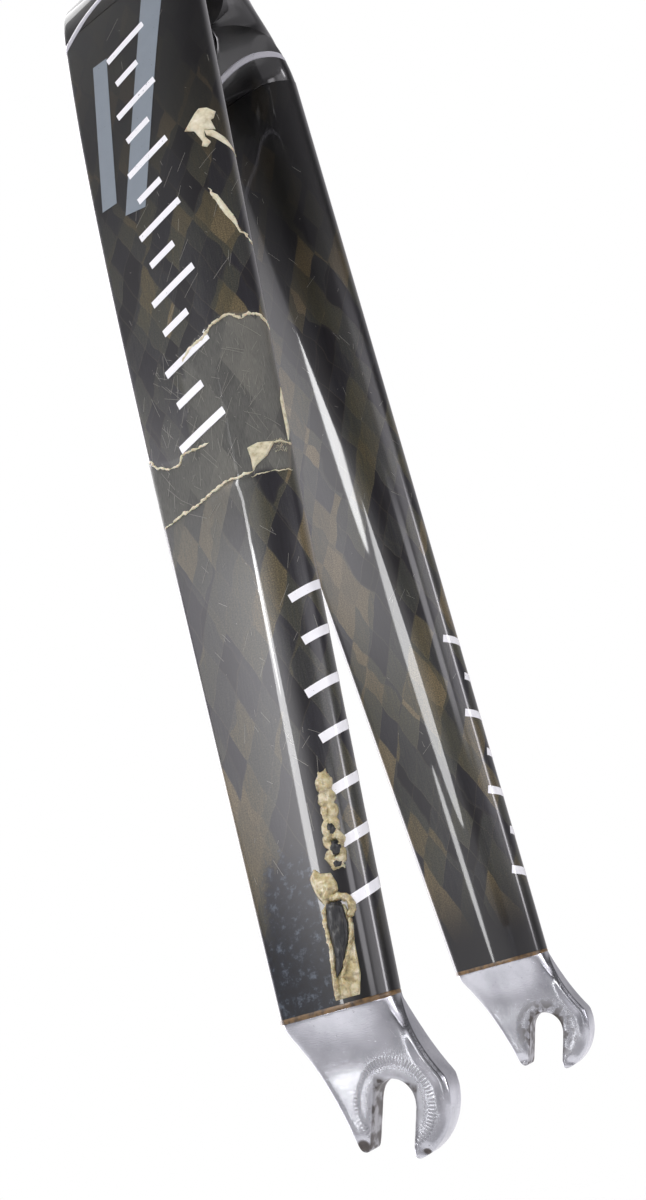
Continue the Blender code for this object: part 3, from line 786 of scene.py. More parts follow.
def nearest_on_outline(point, outline):
    best = None
    for a, b in zip(outline, outline[1:] + outline[:1]):
        a, b = np.array(a), np.array(b)
        t = np.clip(np.dot(point - a, b - a) / max(np.dot(b - a, b - a), 1e-12), 0, 1)
        spot = a + (b - a) * t
        if best is None or np.linalg.norm(point - spot) < np.linalg.norm(point - best):
            best = spot
    return best


def flake_mesh(name, outline, height, edge, rough=0.5, pitch=0.35, grain=0.6):
    """Thin raised flake over a flat outline in millimetres: lumpy on top, and as high as edge at its rim."""
    corners = np.array(outline)
    low, high = corners.min(axis=0) - pitch, corners.max(axis=0) + pitch
    xs, ys = np.arange(low[0], high[0], pitch), np.arange(low[1], high[1], pitch)
    mid_x, mid_y = np.meshgrid(xs[:-1] + pitch / 2, ys[:-1] + pitch / 2, indexing="ij")
    kept = inside_outline(mid_x, mid_y, outline)
    cells = [tuple(c) for c in np.argwhere(kept)]
    used = sorted({(i + a, j + b) for i, j in cells for a in (0, 1) for b in (0, 1)})
    places, tops = [], []
    for i, j in used:
        spot = np.array([xs[i], ys[j]])
        rim = nearest_on_outline(spot, outline)
        depth = np.linalg.norm(spot - rim)
        touching = sum(kept[a, b] for a in (i - 1, i) for b in (j - 1, j)
                       if 0 <= a < kept.shape[0] and 0 <= b < kept.shape[1])
        if touching < 4:
            spot, depth = rim, 0.0
        lump = noise.noise(Vector((spot[0] * grain, spot[1] * grain, height * 7)))
        fine = noise.noise(Vector((spot[0] * grain * 3, spot[1] * grain * 3, 4.0)))
        dome = 1 - 2.718 ** (-depth / max(height, 0.3) * 1.2)
        places.append(spot)
        tops.append(edge + height * dome * (1 + rough * (lump + 0.4 * fine)))
    index = {key: n for n, key in enumerate(used)}
    count = len(used)
    points = [(p[0] * MM, p[1] * MM, t * MM) for p, t in zip(places, tops)]
    points += [(p[0] * MM, p[1] * MM, -0.15 * MM) for p in places]
    faces = []
    for i, j in cells:
        loop = [index[i, j], index[i + 1, j], index[i + 1, j + 1], index[i, j + 1]]
        faces.append(tuple(loop))
        faces.append(tuple(n + count for n in reversed(loop)))
        walls = ((i, j - 1, 0, 1), (i + 1, j, 1, 2), (i, j + 1, 2, 3), (i - 1, j, 3, 0))
        for a, b, start, end in walls:
            if not (0 <= a < kept.shape[0] and 0 <= b < kept.shape[1] and kept[a, b]):
                faces.append((loop[end], loop[start], loop[start] + count, loop[end] + count))
    return mesh_of(name, points, faces)


# ---------------------------------------------------------------- dropouts

def arc(cx, cz, radius, start, end, steps):
    return [(cx + radius * cos(a), cz + radius * sin(a))
            for a in np.linspace(radians(start), radians(end), steps + 1)]


def curve(start, control, end, steps):
    ts = [i / steps for i in range(1, steps + 1)]
    return [tuple((1 - t) ** 2 * a + 2 * t * (1 - t) * c + t * t * b for a, c, b in zip(start, control, end))
            for t in ts]


def front_edge():
    """Front line of the dropout, from the front prong's tip up to the blade."""
    nose = foot_frame(SHOULDER_RISE, CHORD_FOOT / 2)
    front = arc(0, LOBE_HEIGHT, LOBE_RADIUS, -58, 28, 40)
    return front + curve(front[-1], (3.4 * MM, 13.6 * MM), nose, 24)


def plate_outline():
    """Dropout side view in the slot frame, its prongs' ends rounded."""
    tail = foot_frame(SHOULDER_RISE, -CHORD_FOOT / 2)
    half = SLOT_WIDTH / 2
    rear_tip = (-7.9 * MM, PRONG_FOOT + 1.0 * MM)
    front = front_edge()
    outline = [tail]
    outline += curve(tail, (-16.2 * MM, 2.6 * MM), rear_tip, 24)
    outline += curve(rear_tip, (-7.0 * MM, PRONG_FOOT - 0.2 * MM), (-6.0 * MM, PRONG_FOOT), 5)
    outline += curve(outline[-1], (-half, PRONG_FOOT), (-half, PRONG_FOOT + 1.6 * MM), 5)
    outline += [(half, PRONG_FOOT + 2.6 * MM)]
    outline += curve(outline[-1], (half + 0.2 * MM, PRONG_FOOT + 0.6 * MM), front[0], 6)[:-1]
    return outline + front


def prism(points, low, high):
    bm = bmesh.new()
    base = bm.faces.new([bm.verts.new((x, low, z)) for x, z in points])
    top = bmesh.ops.extrude_face_region(bm, geom=[base])["geom"]
    bmesh.ops.translate(bm, verts=[v for v in top if isinstance(v, bmesh.types.BMVert)],
                        vec=Vector((0, high - low, 0)))
    return bm


def make_tang(side):
    """Tongue of the dropout that the blade is bonded over."""
    inset = BLADE_WALL + GAP
    steps = ((TANG_LENGTH, inset + 0.5 * MM), (TANG_LENGTH - 2 * MM, inset), (-1.5 * MM, inset))
    rows = [blade_row(max(s, 0.0), side, inset=cut, at=s)[0] for s, cut in steps]
    flat = [np.zeros((len(r), 2)) for r in rows]
    return new_object("tang", tube_mesh("tang", rows, flat, closed=False))


def scoop(places, side):
    """Thin the full-depth plate below the blade: its own section at the top, then hollowed to the plate."""
    x, z = places[:, 0] - RAKE, places[:, 2] + AXLE_TO_CROWN
    back, up = x * cos(SLOT_TILT) - z * sin(SLOT_TILT), x * sin(SLOT_TILT) + z * cos(SLOT_TILT)
    dx, dz = back + FOOT_BACK, up - FOOT_UP
    depth = dx * sin(BLADE_LEAN) - dz * cos(BLADE_LEAN)
    along = dx * cos(BLADE_LEAN) + dz * sin(BLADE_LEAN) - CHORD_FOOT / 2
    section_along, section_across = half_section(CHORD_FOOT, THICK_FOOT, NOSE_SHARE * CHORD_FOOT, TAIL_RADIUS)
    full = np.interp(along, section_along[::-1], section_across[::-1])
    share = np.clip(depth / SCOOP_DEPTH, 0, 1)
    edge = np.array(front_edge())
    to_edge = np.sqrt(((np.stack([back, up], axis=1)[:, None, :] - edge[None]) ** 2).sum(axis=2)).min(axis=1)
    rim = RIM_RISE * np.exp(-((to_edge - RIM_IN) / (1.2 * MM)) ** 2)
    rim = rim * smooth(share / 0.5) * smooth((up + 2 * MM) / (6 * MM))
    half = PLATE / 2 + (full - PLATE / 2) * (1 - share) ** 2.2 + rim
    inside = depth > -0.3 * MM
    across = places[:, 1] - side * SPREAD_FOOT
    places[:, 1] = np.where(inside, side * SPREAD_FOOT + across * half / (THICK_FOOT / 2), places[:, 1])


def slot_cutter(side):
    half, below = SLOT_WIDTH / 2, 2 * PRONG_FOOT
    outline = [(half, below)] + arc(0, 0, half, 0, 180, 40) + [(-half, below)]
    low, high = sorted(side * (HUB_WIDTH / 2 + reach) for reach in (-PLATE, 2 * PLATE))
    bm = prism([slot_frame(*p) for p in outline], low, high)
    return new_object("slot_cutter", from_bmesh("slot_cutter", bm))


def reshape(mesh, change, *more):
    """Let a function move a mesh's points in place."""
    places = np.zeros(len(mesh.vertices) * 3)
    mesh.vertices.foreach_get("co", places)
    places = places.reshape(-1, 3)
    change(places, *more)
    mesh.vertices.foreach_set("co", places.ravel())
    mesh.update()


# Knocks on the prongs' ends: place in the slot frame, reach and depth, in millimetres
KNOCKS = (((-6.6, -9.6), 1.5, 0.55), ((8.0, -7.6), 1.2, 0.5))
RING_REACH, RING_DEPTH = 9.2, 0.07          # the flat that the hub nuts press in


def wear(places):
    """Press in the ring that the hub nuts leave, and knock the prongs' ends."""
    radius = np.hypot(places[:, 0] - RAKE, places[:, 2] + AXLE_TO_CROWN)
    face = smooth((np.abs(np.abs(places[:, 1]) - SPREAD_FOOT) - 2.4 * MM) / (0.5 * MM))
    pressed = RING_DEPTH * smooth((RING_REACH * MM - radius) / (1.6 * MM))
    inward = -np.sign(places[:, 1]) * np.sign(np.abs(places[:, 1]) - SPREAD_FOOT)
    places[:, 1] += inward * face * pressed * MM
    for (x, z), reach, depth in KNOCKS:
        cx, cz = slot_frame(x * MM, z * MM)
        away = np.hypot(places[:, 0] - cx, places[:, 2] - cz)
        places[:, 1] += inward * face * depth * MM * np.exp(-(away / (reach * MM)) ** 2)


def make_bond_fillet(label, side, finish):
    """Cured adhesive that fills the joint between blade and dropout."""
    half = BOND / 2 + GAP
    bulge = [(0.10 * MM, -half), (0.02 * MM, -half / 2), (0.0, 0.0), (0.02 * MM, half / 2), (0.10 * MM, half)]
    steps = bulge + [(BLADE_WALL, half), (BLADE_WALL, -half)]
    rows, girths = zip(*(blade_row(0, side, inset=inset, at=at) for inset, at in steps))
    mesh = tube_mesh("bond_fillet_" + label, rows, flat_places(girths, [at for _, at in steps]), closed=True)
    keep(new_object(mesh.name, mesh), finish, "adhesive", "bond_line_" + label)


def soften(obj, factor, rounds):
    modifier = obj.modifiers.new("soften", "SMOOTH")
    modifier.factor, modifier.iterations = factor, rounds


def make_dropout_skin(label, side, finish):
    """Dropout forged in one with its tang: slotted, hollowed below the blade, rounded and worn."""
    low, high = sorted(side * SPREAD_FOOT + reach for reach in (-THICK_FOOT / 2, THICK_FOOT / 2))
    outline = [slot_frame(*p) for p in plate_outline()]
    plate = new_object("dropout_plate", from_bmesh("dropout_plate", prism(outline, low, high)))
    tang, cutter = make_tang(side), slot_cutter(side)
    combine(plate, "UNION", tang)
    combine(plate, "DIFFERENCE", cutter)
    remesh = plate.modifiers.new("remesh", "REMESH")
    remesh.mode = "VOXEL"
    remesh.voxel_size = 0.36 * MM
    soften(plate, 0.6, 16)
    made = settled(plate, "dropout_%s_forged" % label)
    for helper in (tang, cutter):
        bpy.data.objects.remove(helper)
    reshape(made.data, scoop, side)
    soften(made, 0.5, 12)
    made = settled(made, "dropout_%s_shaped" % label)
    reshape(made.data, wear)
    made.data.shade_smooth()
    return keep(made, finish, "polished_aluminium", "dropout_" + label)


# ---------------------------------------------------------------- finishes

WEAVE_LONG, WEAVE_WIDE = 17.0, 8.0          # diagonals of one carbon patch, in millimetres
OUTER_FACE, INNER_FACE = 54.6, 50.1         # how far the dropouts' faces are from the middle, in millimetres


def patch_tone(f, u, s, long, wide, shift):
    """Random tone of each rhombus of fabric, and a thin line along its two upper edges."""
    wave = f.cloud(f.point(u, s, shift), 0.06, 2.0) - 0.5
    a = s / long + u / wide + wave * 0.8 + shift
    b = s / long - u / wide + wave * 0.5 + shift
    tone = f.node("ShaderNodeTexWhiteNoise", {}, {"Vector": f.point(a.floor(), b.floor(), shift)})[0]
    seam = f.maths("MINIMUM", a % 1.0, b % 1.0)
    return tone, 1 - seam.step(0.015, 0.05)


def lacquered_carbon():
    """Flake-patterned carbon under gloss lacquer: rubbed through where the mask is set, with a painted sheen
    in its patch below the lower crack, stained where stain is.
    """
    f = Finish("lacquered_carbon", coat_roughness=0.035)
    u, s = f.flat()
    spot = f.point(u, s)
    fine, seam = patch_tone(f, u, s, WEAVE_LONG, WEAVE_WIDE, 0.0)
    broad, broad_seam = patch_tone(f, u, s, WEAVE_LONG * 2.3, WEAVE_WIDE * 2.1, 3.4)
    streak = f.cloud(f.point(u * 2.4, s * 0.14), 1.0, 5.0, 0.6)
    speck = f.cloud(spot, 2.6, 5.0, 0.65)
    pick = fine * 0.48 + broad * 0.32 + streak * 0.34 - 0.10
    patches = f.ramp(pick, (0.22, colour(22, 19, 24)), (0.38, colour(40, 39, 45)), (0.50, colour(63, 64, 58)),
                     (0.60, colour(76, 74, 58)), (0.70, colour(100, 90, 64)), (0.84, colour(128, 113, 82)))
    lined = f.blend(seam * 0.22 + broad_seam * 0.10, patches, colour(112, 104, 84))
    mottled = f.blend(speck.step(0.34, 0.64) * 0.68, lined, colour(27, 27, 28))
    ends = s.step(6.0, 34.0) * (1 - s.step(190.0, 280.0) * 0.86) * (1 - s.step(305.0, 335.0) * 0.8)
    base = f.blend(ends, colour(9, 8, 9), mottled)
    bare_and_sheen = f.attribute("scuff")
    rub = f.cloud(f.point(u * 5.0, s * 0.35), 1.0, 6.0, 0.7)
    rubbed = f.ramp(rub * 0.7 + fine * 0.18 + 0.05, (0.25, colour(46, 46, 46)), (0.45, colour(82, 82, 78)),
                    (0.62, colour(104, 104, 98)), (0.8, colour(142, 140, 130)))
    # Grey of rubbed laminate where the lacquer is worn through; in the patch below the lower crack this
    # lightening is a painted sheen.
    base = f.blend(bare_and_sheen * 0.92, base, rubbed)
    stain = f.attribute("stain")
    blots = f.cloud(spot, 0.42, 6.0, 0.72)
    wet = f.ramp(blots, (0.40, colour(6, 8, 15)), (0.54, colour(15, 20, 30)), (0.66, colour(74, 82, 92)))
    base = f.blend((stain + (blots - 0.5) * 1.2).step(0.25, 0.62), base, wet)
    dull = (speck - 0.5) * 0.22 + bare_and_sheen * 0.28
    f.feed(base_color=base, roughness=dull + 0.36, coat_weight=1 - bare_and_sheen * 0.93,
           normal=f.bump(rub * bare_and_sheen + speck * 0.12, 0.09 * MM))
    return f.material


def printed(name, paint, worn):
    """Paint printed under the lacquer."""
    f = Finish(name, coat_weight=1.0, coat_roughness=0.05, roughness=0.4)
    spot = f.place()
    haze = f.cloud(spot, 90.0, 4.0)
    chips = f.cloud(spot, 1400.0, 3.0).step(0.68, 0.74)
    faded = f.blend(haze.step(0.3, 0.8) * 0.35, paint, worn)
    f.feed(base_color=f.blend(chips * 0.7, faded, colour(70, 70, 70)), roughness=haze * 0.3 + 0.22)
    return f.material


def bare_resin(name, pale, deep, gloss):
    """Resin pulled white where the laminate broke."""
    f = Finish(name, coat_weight=gloss, coat_roughness=0.12, subsurface_weight=0.15)
    f.shader.inputs["Subsurface Scale"].default_value = 1.5 * MM
    spot = f.place()
    grain = f.cloud(spot, 620.0, 5.0, 0.65)
    hollow = f.cloud(spot, 260.0, 3.0)
    tint = f.ramp(grain * 0.6 + hollow * 0.5, (0.34, deep), (0.52, pale), (0.74, colour(226, 220, 198)))
    if gloss > 0.5:
        runs = f.cloud(f.vector("MULTIPLY", spot, (520.0, 520.0, 900.0)), 1.0, 4.0, 0.7)
        tint = f.blend(runs.step(0.46, 0.66) * 0.6, tint, colour(104, 90, 58))
    f.feed(base_color=tint, roughness=grain * 0.4 + 0.28, normal=f.bump(grain, 0.12 * MM))
    return f.material


def charred_fibre():
    """Dark broken fibres, seen through gaps in the resin."""
    f = Finish("dark_fibre", coat_weight=0.4, coat_roughness=0.2)
    strands = f.cloud(f.vector("MULTIPLY", f.place(), (2600.0, 2600.0, 420.0)), 1.0, 4.0)
    tint = f.ramp(strands, (0.3, colour(9, 10, 12)), (0.55, colour(30, 31, 34)), (0.8, colour(84, 80, 70)))
    f.feed(base_color=tint, roughness=strands * 0.5 + 0.25, normal=f.bump(strands, 0.15 * MM))
    return f.material


def polished_aluminium():
    """Dropout metal: a knurled ring printed by the nut, grime in the slot and at the prongs' ends."""
    f = Finish("polished_aluminium")
    spot = f.place()
    x, y, z = f.parts(spot)
    x, z = x - RAKE, z + AXLE_TO_CROWN
    reach = f.maths("SQRT", x * x + z * z) * 1000
    angle = f.maths("ARCTAN2", z, x)
    cast = f.cloud(spot, 130.0, 4.0)
    hair = f.cloud(f.vector("MULTIPLY", spot, (900.0, 900.0, 5200.0)), 1.0, 3.0)
    pits = f.cloud(spot, 1500.0, 3.0, 0.6).step(0.66, 0.72)
    outer_face = f.maths("ABSOLUTE", y) > OUTER_FACE * MM
    ring = reach.step(7.7, 8.3) * (1 - reach.step(9.2, 9.8)) * outer_face
    knurl = (f.maths("SINE", angle * 74) * 0.5 + 0.5) * ring * cast.step(0.3, 0.6)
    worn = (1 - reach.step(5.0, 8.2)) * outer_face
    back = (x * cos(SLOT_TILT) - z * sin(SLOT_TILT)) * 1000
    drop = (x * sin(SLOT_TILT) + z * cos(SLOT_TILT)) * 1000
    wall = (1 - f.maths("ABSOLUTE", back).step(4.9, 5.4)) * (1 - drop.step(4.2, 5.2))
    rubbed = f.cloud(spot, 480.0, 4.0).step(0.38, 0.62)
    tips = (1 - drop.step(-11.0, -8.4)) * rubbed + (1 - reach.step(5.0, 7.4)) * outer_face * rubbed * 0.35
    inner_face = 1 - f.maths("ABSOLUTE", y).step(INNER_FACE * MM, (INNER_FACE + 0.5) * MM)
    smear = inner_face * (1 - reach.step(6.0, 10.5)) * f.cloud(spot, 420.0, 5.0).step(0.47, 0.56)
    gouge = (back + 6.5) * (back + 6.5) * 0.6 + (drop + 9.6) * (drop + 9.6)
    nick = (back - 8.0) * (back - 8.0) + (drop + 7.8) * (drop + 7.8) * 2.5
    tips = tips * 0.7 + (2 - gouge.step(0.6, 2.2) - nick.step(0.3, 1.4)) * outer_face
    grime = f.maths("MINIMUM", wall * (0.5 + rubbed * 0.5) + tips + smear * 0.8, 1.0)
    base = f.blend(cast.step(0.35, 0.75) * 0.6, colour(200, 201, 206), colour(156, 157, 163))
    base = f.blend(pits * 0.6 * (cast.step(0.4, 0.6) * 0.6 + worn), base, colour(84, 80, 76))
    base = f.blend(knurl * 0.3, base, colour(120, 119, 118))
    base = f.blend(grime * 0.85, base, colour(66, 57, 47))
    rough = cast * 0.16 + hair * 0.12 + worn * 0.12 + knurl * 0.1 + grime * 0.25 + 0.08
    f.feed(base_color=base, roughness=rough, normal=f.bump(hair * 0.18 + knurl * 0.6 - pits * 0.5, 0.05 * MM))
    f.shader.inputs["Metallic"].default_value = 1.0
    return f.material


def adhesive():
    """Brown cured glue."""
    f = Finish("adhesive", coat_weight=0.5, coat_roughness=0.2)
    lump = f.cloud(f.place(), 700.0, 4.0)
    f.feed(base_color=f.ramp(lump, (0.3, colour(52, 38, 22)), (0.7, colour(128, 98, 58))),
           roughness=lump * 0.4 + 0.25, normal=f.bump(lump, 0.1 * MM))
    return f.material


def turned_metal(name, dark, pale, metallic, rough, groove):
    """Metal off a lathe: fine rings round the steering axis, and a little handling wear."""
    f = Finish(name, metallic=metallic)
    spot = f.place()
    x, y, z = f.parts(spot)
    reach = f.maths("SQRT", x * x + y * y)
    rings = f.cloud(f.point(reach * 9000, z * 9000), 1.0, 3.0)
    wear = f.cloud(spot, 160.0, 5.0)
    hair = f.cloud(spot, 1900.0, 2.0)
    base = f.blend(wear.step(0.35, 0.8) * 0.7 + rings * 0.2, dark, pale)
    f.feed(base_color=base, roughness=wear * 0.14 + hair * 0.08 + rings * 0.08 + rough,
           normal=f.bump(rings, groove * MM))
    return f.material


def moulded_rubber():
    """Dusty black rubber."""
    f = Finish("moulded_rubber")
    grain = f.cloud(f.place(), 2400.0, 3.0)
    dust = f.cloud(f.place(), 240.0, 4.0)
    f.feed(base_color=f.blend(dust.step(0.5, 0.8) * 0.4, colour(20, 20, 21), colour(54, 52, 50)),
           roughness=grain * 0.25 + 0.5, normal=f.bump(grain, 0.05 * MM))
    return f.material


def steerer_carbon():
    """Unlacquered tube: a plain weave pressed matt, with a few resin-rich spots."""
    f = Finish("steerer_carbon", coat_weight=0.15, coat_roughness=0.3)
    spot = f.place()
    x, y, z = f.parts(spot)
    a = f.maths("ARCTAN2", y, x) * (40 / (2 * pi))
    b = z * 1000 / 2.2
    over = ((a.floor() + b.floor()) % 2.0)
    across, up = f.maths("ABSOLUTE", a % 1.0 - 0.5), f.maths("ABSOLUTE", b % 1.0 - 0.5)
    crown = 1 - (across * over + up * (1 - over)) * 1.6
    strand = f.cloud(f.point(a * 9, b * 9, over * 7), 1.0, 3.0)
    rich = f.cloud(spot, 150.0, 4.0).step(0.55, 0.75)
    base = f.blend(over * 0.55 + strand * 0.35, colour(25, 25, 27), colour(58, 59, 62))
    f.feed(base_color=f.blend(rich * 0.5, base, colour(16, 16, 17)), roughness=0.46 + over * 0.1 - rich * 0.2,
           normal=f.bump(crown + strand * 0.2, 0.12 * MM))
    return f.material


# ---------------------------------------------------------------- marks and damage on the legs

# Pin-stripe, in millimetres: its width, how high it crosses the nose, how far it drops by the tail's corner
STRIPE_WIDTH, STRIPE_TOP, STRIPE_DROP, TAIL_REACH = 2.4, 331.0, 15.5, 57.0

# Columns of plain bars: paint, how many, the first one's place, the step to the next and the size in
# millimetres, the slant in radians, and how much every other one is shortened and shifted
PRINTS = {
    "flank_bars_": ("white", 13, (30.5, 300), (-0.45, -12.4), (16.5, 2.6), -0.30, 0.42, 1.5),
    "upper_band_": ("grey", 1, (25.5, 279), (0, 0), (92.0, 8.0), 1.80, 0.0, 0.0),
    "lower_band_": ("grey", 1, (43.5, 271), (0, 0), (58.0, 6.0), 1.64, 0.0, 0.0),
    "nose_bars_": ("white", 7, (1.5, 97), (0.15, -12.4), (15.0, 2.4), -0.32, 0.35, 1.0),
}
PRINT_DEPTH = 0.16


def millimetres(u, s, height=0.0):
    return u * MM, s * MM, height * MM


def stripe_route():
    """Once round the leg over its blade's end, dropping towards the tail."""
    around = np.linspace(-60.5, 60.5, 90)
    return [(u, STRIPE_TOP - STRIPE_DROP * (abs(u) / TAIL_REACH) ** 3.2) for u in around]


def add_marks(charts, finishes):
    """Plain bars and bands where a maker would print."""
    bars, line = bar_recipe(), line_recipe()
    silver = finishes["silver"]
    for label in SIDES:
        leg = charts[label]
        for name, (paint, count, start, step, size, slant, shorten, shift) in PRINTS.items():
            paint = finishes[paint]
            piece = bars.make(name + label, empty_mesh(), paint, Leg=leg, Count=count, Slant=slant,
                              Shorten=shorten, Start=millimetres(*start), Step=millimetres(*step),
                              Size=millimetres(*size, PRINT_DEPTH), Shift=shift * MM)
            keep(piece, paint, "carbon")
        piece = line.make("pinstripe_" + label, route_mesh("stripe", stripe_route()), silver, Leg=leg,
                          Width=STRIPE_WIDTH * MM, Height=0.09 * MM, Wander=0.0, Ragged=0.0, Grain=100.0,
                          Taper=0.001)
        keep(piece, silver, "carbon")


def oval(u, s, width, height, corners=6):
    """Flat outline of a small hole."""
    turns = [2 * pi * i / corners for i in range(corners)]
    return tuple((u + width / 2 * cos(t), s + height / 2 * sin(t)) for t in turns)


# Raised shapes: the outline in millimetres, flat on the leg, and the height
FLAKES = {
    "chip_raised": (((14.5, 251), (10.5, 256), (9, 257.5), (6.5, 257), (4, 255), (5, 252.5), (6, 252),
                     (5, 248), (6.5, 248.5), (8.5, 248.5), (8.5, 246), (7, 243.5), (8.5, 242), (10, 243),
                     (9.5, 244.5), (11.5, 249.5)), 0.55),
    "chip_tail": (((8.5, 248.5), (6, 248), (2.5, 244.5), (-1, 239), (3.5, 242.5), (6, 245),
                   (8, 246.5)), 0.35),
    "chip_triangle": (((12.5, 139.5), (9.5, 140), (5, 139), (7.5, 135.5), (11, 133.5), (12, 132),
                       (12, 136)), 0.4),
    "chip_split": (((10, 225.5), (9, 222), (7, 216), (3.5, 209.5), (4, 213.5), (6, 218.5), (8, 223.5)), 0.35),
    "chip_sliver": (((-0.5, 157), (1, 152), (1, 138.5), (-0.5, 143)), 0.3),
    "resin_lobe": (((15, 30), (13.5, 28.5), (11, 28), (10, 25.5), (10, 24), (12, 22), (13.5, 21), (15, 23),
                    (16, 25.5), (16.5, 28)), 1.2),
    "resin_run": (((13.5, 21), (12, 21.5), (9, 20.5), (8, 16), (8.5, 12.5), (8.5, 5.5), (9.5, 1.5),
                   (15.5, 1.5), (15.5, 5.5), (14.5, 14), (14.5, 18.5)), 0.8),
    "fibre_pocket": (((13, 21.5), (11, 21.5), (9.5, 20.5), (9, 16.5), (9.5, 13), (10.5, 11), (11.5, 8),
                      (13.5, 6), (13.5, 8), (13, 10), (13.5, 17.5)), 1.6),
    "fibre_hole_top": (oval(8.8, 37.2, 2.2, 3.2), 2.1),
    "fibre_hole_middle": (oval(8.6, 33, 2.6, 3.6), 2.1),
    "fibre_hole_low": (oval(8.8, 29.6, 2.2, 2), 2.1),
}
FIBRE_LIFT, FLAKE_EDGE = 1.3, 0.12          # how high a flake's rim stands, in millimetres

# Ridges of pulled resin along a crack: the route, the width and the height in millimetres
CRACKS = {
    "crack_upper": (UPPER_CRACK, 0.85, 0.34),
    "crack_lower": (LOWER_CRACK, 0.75, 0.30),
    "crack_side": (SIDE_CRACK, 0.6, 0.26),
    "crack_nose": (NOSE_SPLIT, 0.6, 0.3),
    "crack_fine": (((5, 139), (2.5, 138.5), (0, 138)), 0.5, 0.2),
    "crack_hair": (((13, 131), (7, 130.5), (1, 130)), 0.3, 0.12),
}
# Strands of run resin, in the same way
ROPE = ((8.7, 51), (8.6, 41), (9, 38), (8.8, 33), (9, 28))
HOOK = ((12.5, 22.5), (9.5, 22.5), (8, 21.5), (7.5, 19.5), (8.5, 17.5))
EDGE_BACK = ((13.5, 21.5), (14, 19), (14, 14), (13.5, 12), (14, 9), (14, 6), (14.5, 1.5))
EDGE_FRONT = ((8.5, 18), (8.5, 15.5), (9, 13), (11, 8.5), (12.5, 5.5), (11.5, 3.5), (11.5, 1.5))


def twisted(route, phase, swing=0.9, pitch=3.3, step=0.35):
    """One strand of a two-strand twist around a route in millimetres."""
    us, ss = np.array(route).T
    along = np.arange(ss[0], ss[-1], -step)
    centre = np.interp(along[::-1], ss[::-1], us[::-1])[::-1]
    swell = swing * (1 + 0.6 * smooth((40 - along) / 6))
    return list(zip(centre + swell * np.sin(2 * pi * along / (pitch * 2) + phase), along))


def add_damage(charts, finishes):
    """Cracks, chips and the resin repair on the right blade."""
    leg = charts["right"]
    line, sheet, fibres = line_recipe(), sheet_recipe(), fibre_recipe()
    cream, resin, dark = (finishes[k] for k in ("cream", "resin", "dark"))

    def lay_lines(lines, paint, **looks):
        for name, (route, width, height) in lines.items():
            piece = line.make(name, route_mesh(name, route), paint, Leg=leg, Width=width * MM,
                              Height=height * MM, **looks)
            keep(piece, paint, "adhesive")

    lay_lines(CRACKS, cream, Wander=1.9 * MM, Ragged=3.2, Grain=520.0, Taper=0.06)
    for name, (outline, height) in FLAKES.items():
        paint = {"resin": resin, "fibre": dark}.get(name.split("_")[0], cream)
        lift = FIBRE_LIFT if name.startswith("fibre") else FLAKE_EDGE
        flake = flake_mesh(name, list(outline), height - lift, lift)
        keep(sheet.make(name, flake, paint, Leg=leg), paint, "adhesive")
    strands = {
        "resin_rope_left": (twisted(ROPE, 0.0), 2.5, 1.5),
        "resin_rope_right": (twisted(ROPE, pi), 2.5, 1.5),
        "resin_hook": (HOOK, 1.8, 1.4),
        "resin_edge_back": (EDGE_BACK, 1.2, 1.7),
        "resin_edge_front": (EDGE_FRONT, 1.0, 1.6),
    }
    lay_lines(strands, resin, Wander=0.5 * MM, Ragged=1.0, Grain=420.0, Taper=0.05)
    fuzz = fibres.make("fibre_fuzz", empty_mesh(), cream, Leg=leg, Count=70, Low=millimetres(2, 135.5),
                       High=millimetres(5.5, 139.5), Length=1.6 * MM, Seed=5)
    keep(fuzz, cream, "adhesive")


# Hair scratches: the leg, how many, two corners of the patch and the longest one in millimetres, the seed
SCRATCHES = {
    "scratches_band": ("right", 150, (3, 132), (40, 180), 9.0, 1),
    "scratches_low": ("right", 60, (3, 30), (32, 128), 7.0, 2),
    "scratches_high": ("right", 70, (2, 150), (46, 310), 8.0, 3),
    "scratches_inner": ("left", 50, (-30, 60), (-2, 300), 7.0, 4),
}


def add_scratches(charts, finishes):
    """Hair scratches over both legs."""
    scratch = scratch_recipe()
    for name, (label, count, low, high, longest, seed) in SCRATCHES.items():
        piece = scratch.make(name, empty_mesh(), finishes["scratch"], Leg=charts[label], Count=count,
                             Seed=seed, Low=millimetres(*low), High=millimetres(*high), Longest=longest * MM)
        keep(piece, finishes["scratch"], "carbon")


# ---------------------------------------------------------------- studio

def softbox(name, spot, aim, width, height, glow, tint=(1.0, 1.0, 1.0), level=False):
    """Lamp whose face glows at a set strength; a level one is a tapered upright strip."""
    lamp = bpy.data.lights.new(name, "AREA")
    lamp.shape = "ELLIPSE" if level else "RECTANGLE"
    lamp.size, lamp.size_y = width, height
    lamp.energy = glow * pi * width * height
    lamp.color = tint
    obj = new_object(name, lamp)
    obj.location = spot
    way = Vector(aim) - Vector(spot)
    if level:
        way.z = 0.0
    obj.rotation_euler = way.to_track_quat("-Z", "Y").to_euler()
    obj.visible_camera = False
    return obj


def glow_panel(w, heading, pitch, centre, half, soft, low, high, fade, glow):
    """Soft-edged panel on the studio's walls; angles in degrees, heading 0 on the fork's right."""
    off = w.maths("ABSOLUTE", heading - centre)
    rise = pitch.step(low - fade, low) * (1 - pitch.step(high, high + fade))
    return (1 - off.step(half, half + soft)) * rise * glow


# Upright strip lamps in front of the fork: place, width, height, glow
STRIPS = {
    "strip": ((-0.114, -0.33, -0.21), 0.036, 0.25, 8.0),
    "high_strip": ((-0.262, -0.60, 0.09), 0.028, 0.34, 13.0),
    "low_strip": ((-0.268, -0.60, -0.385), 0.019, 0.19, 8.5),
}
FRONT, MIDDLE = (0.03, -0.05, -0.1), (0.02, 0.0, -0.2)      # what the lamps aim at

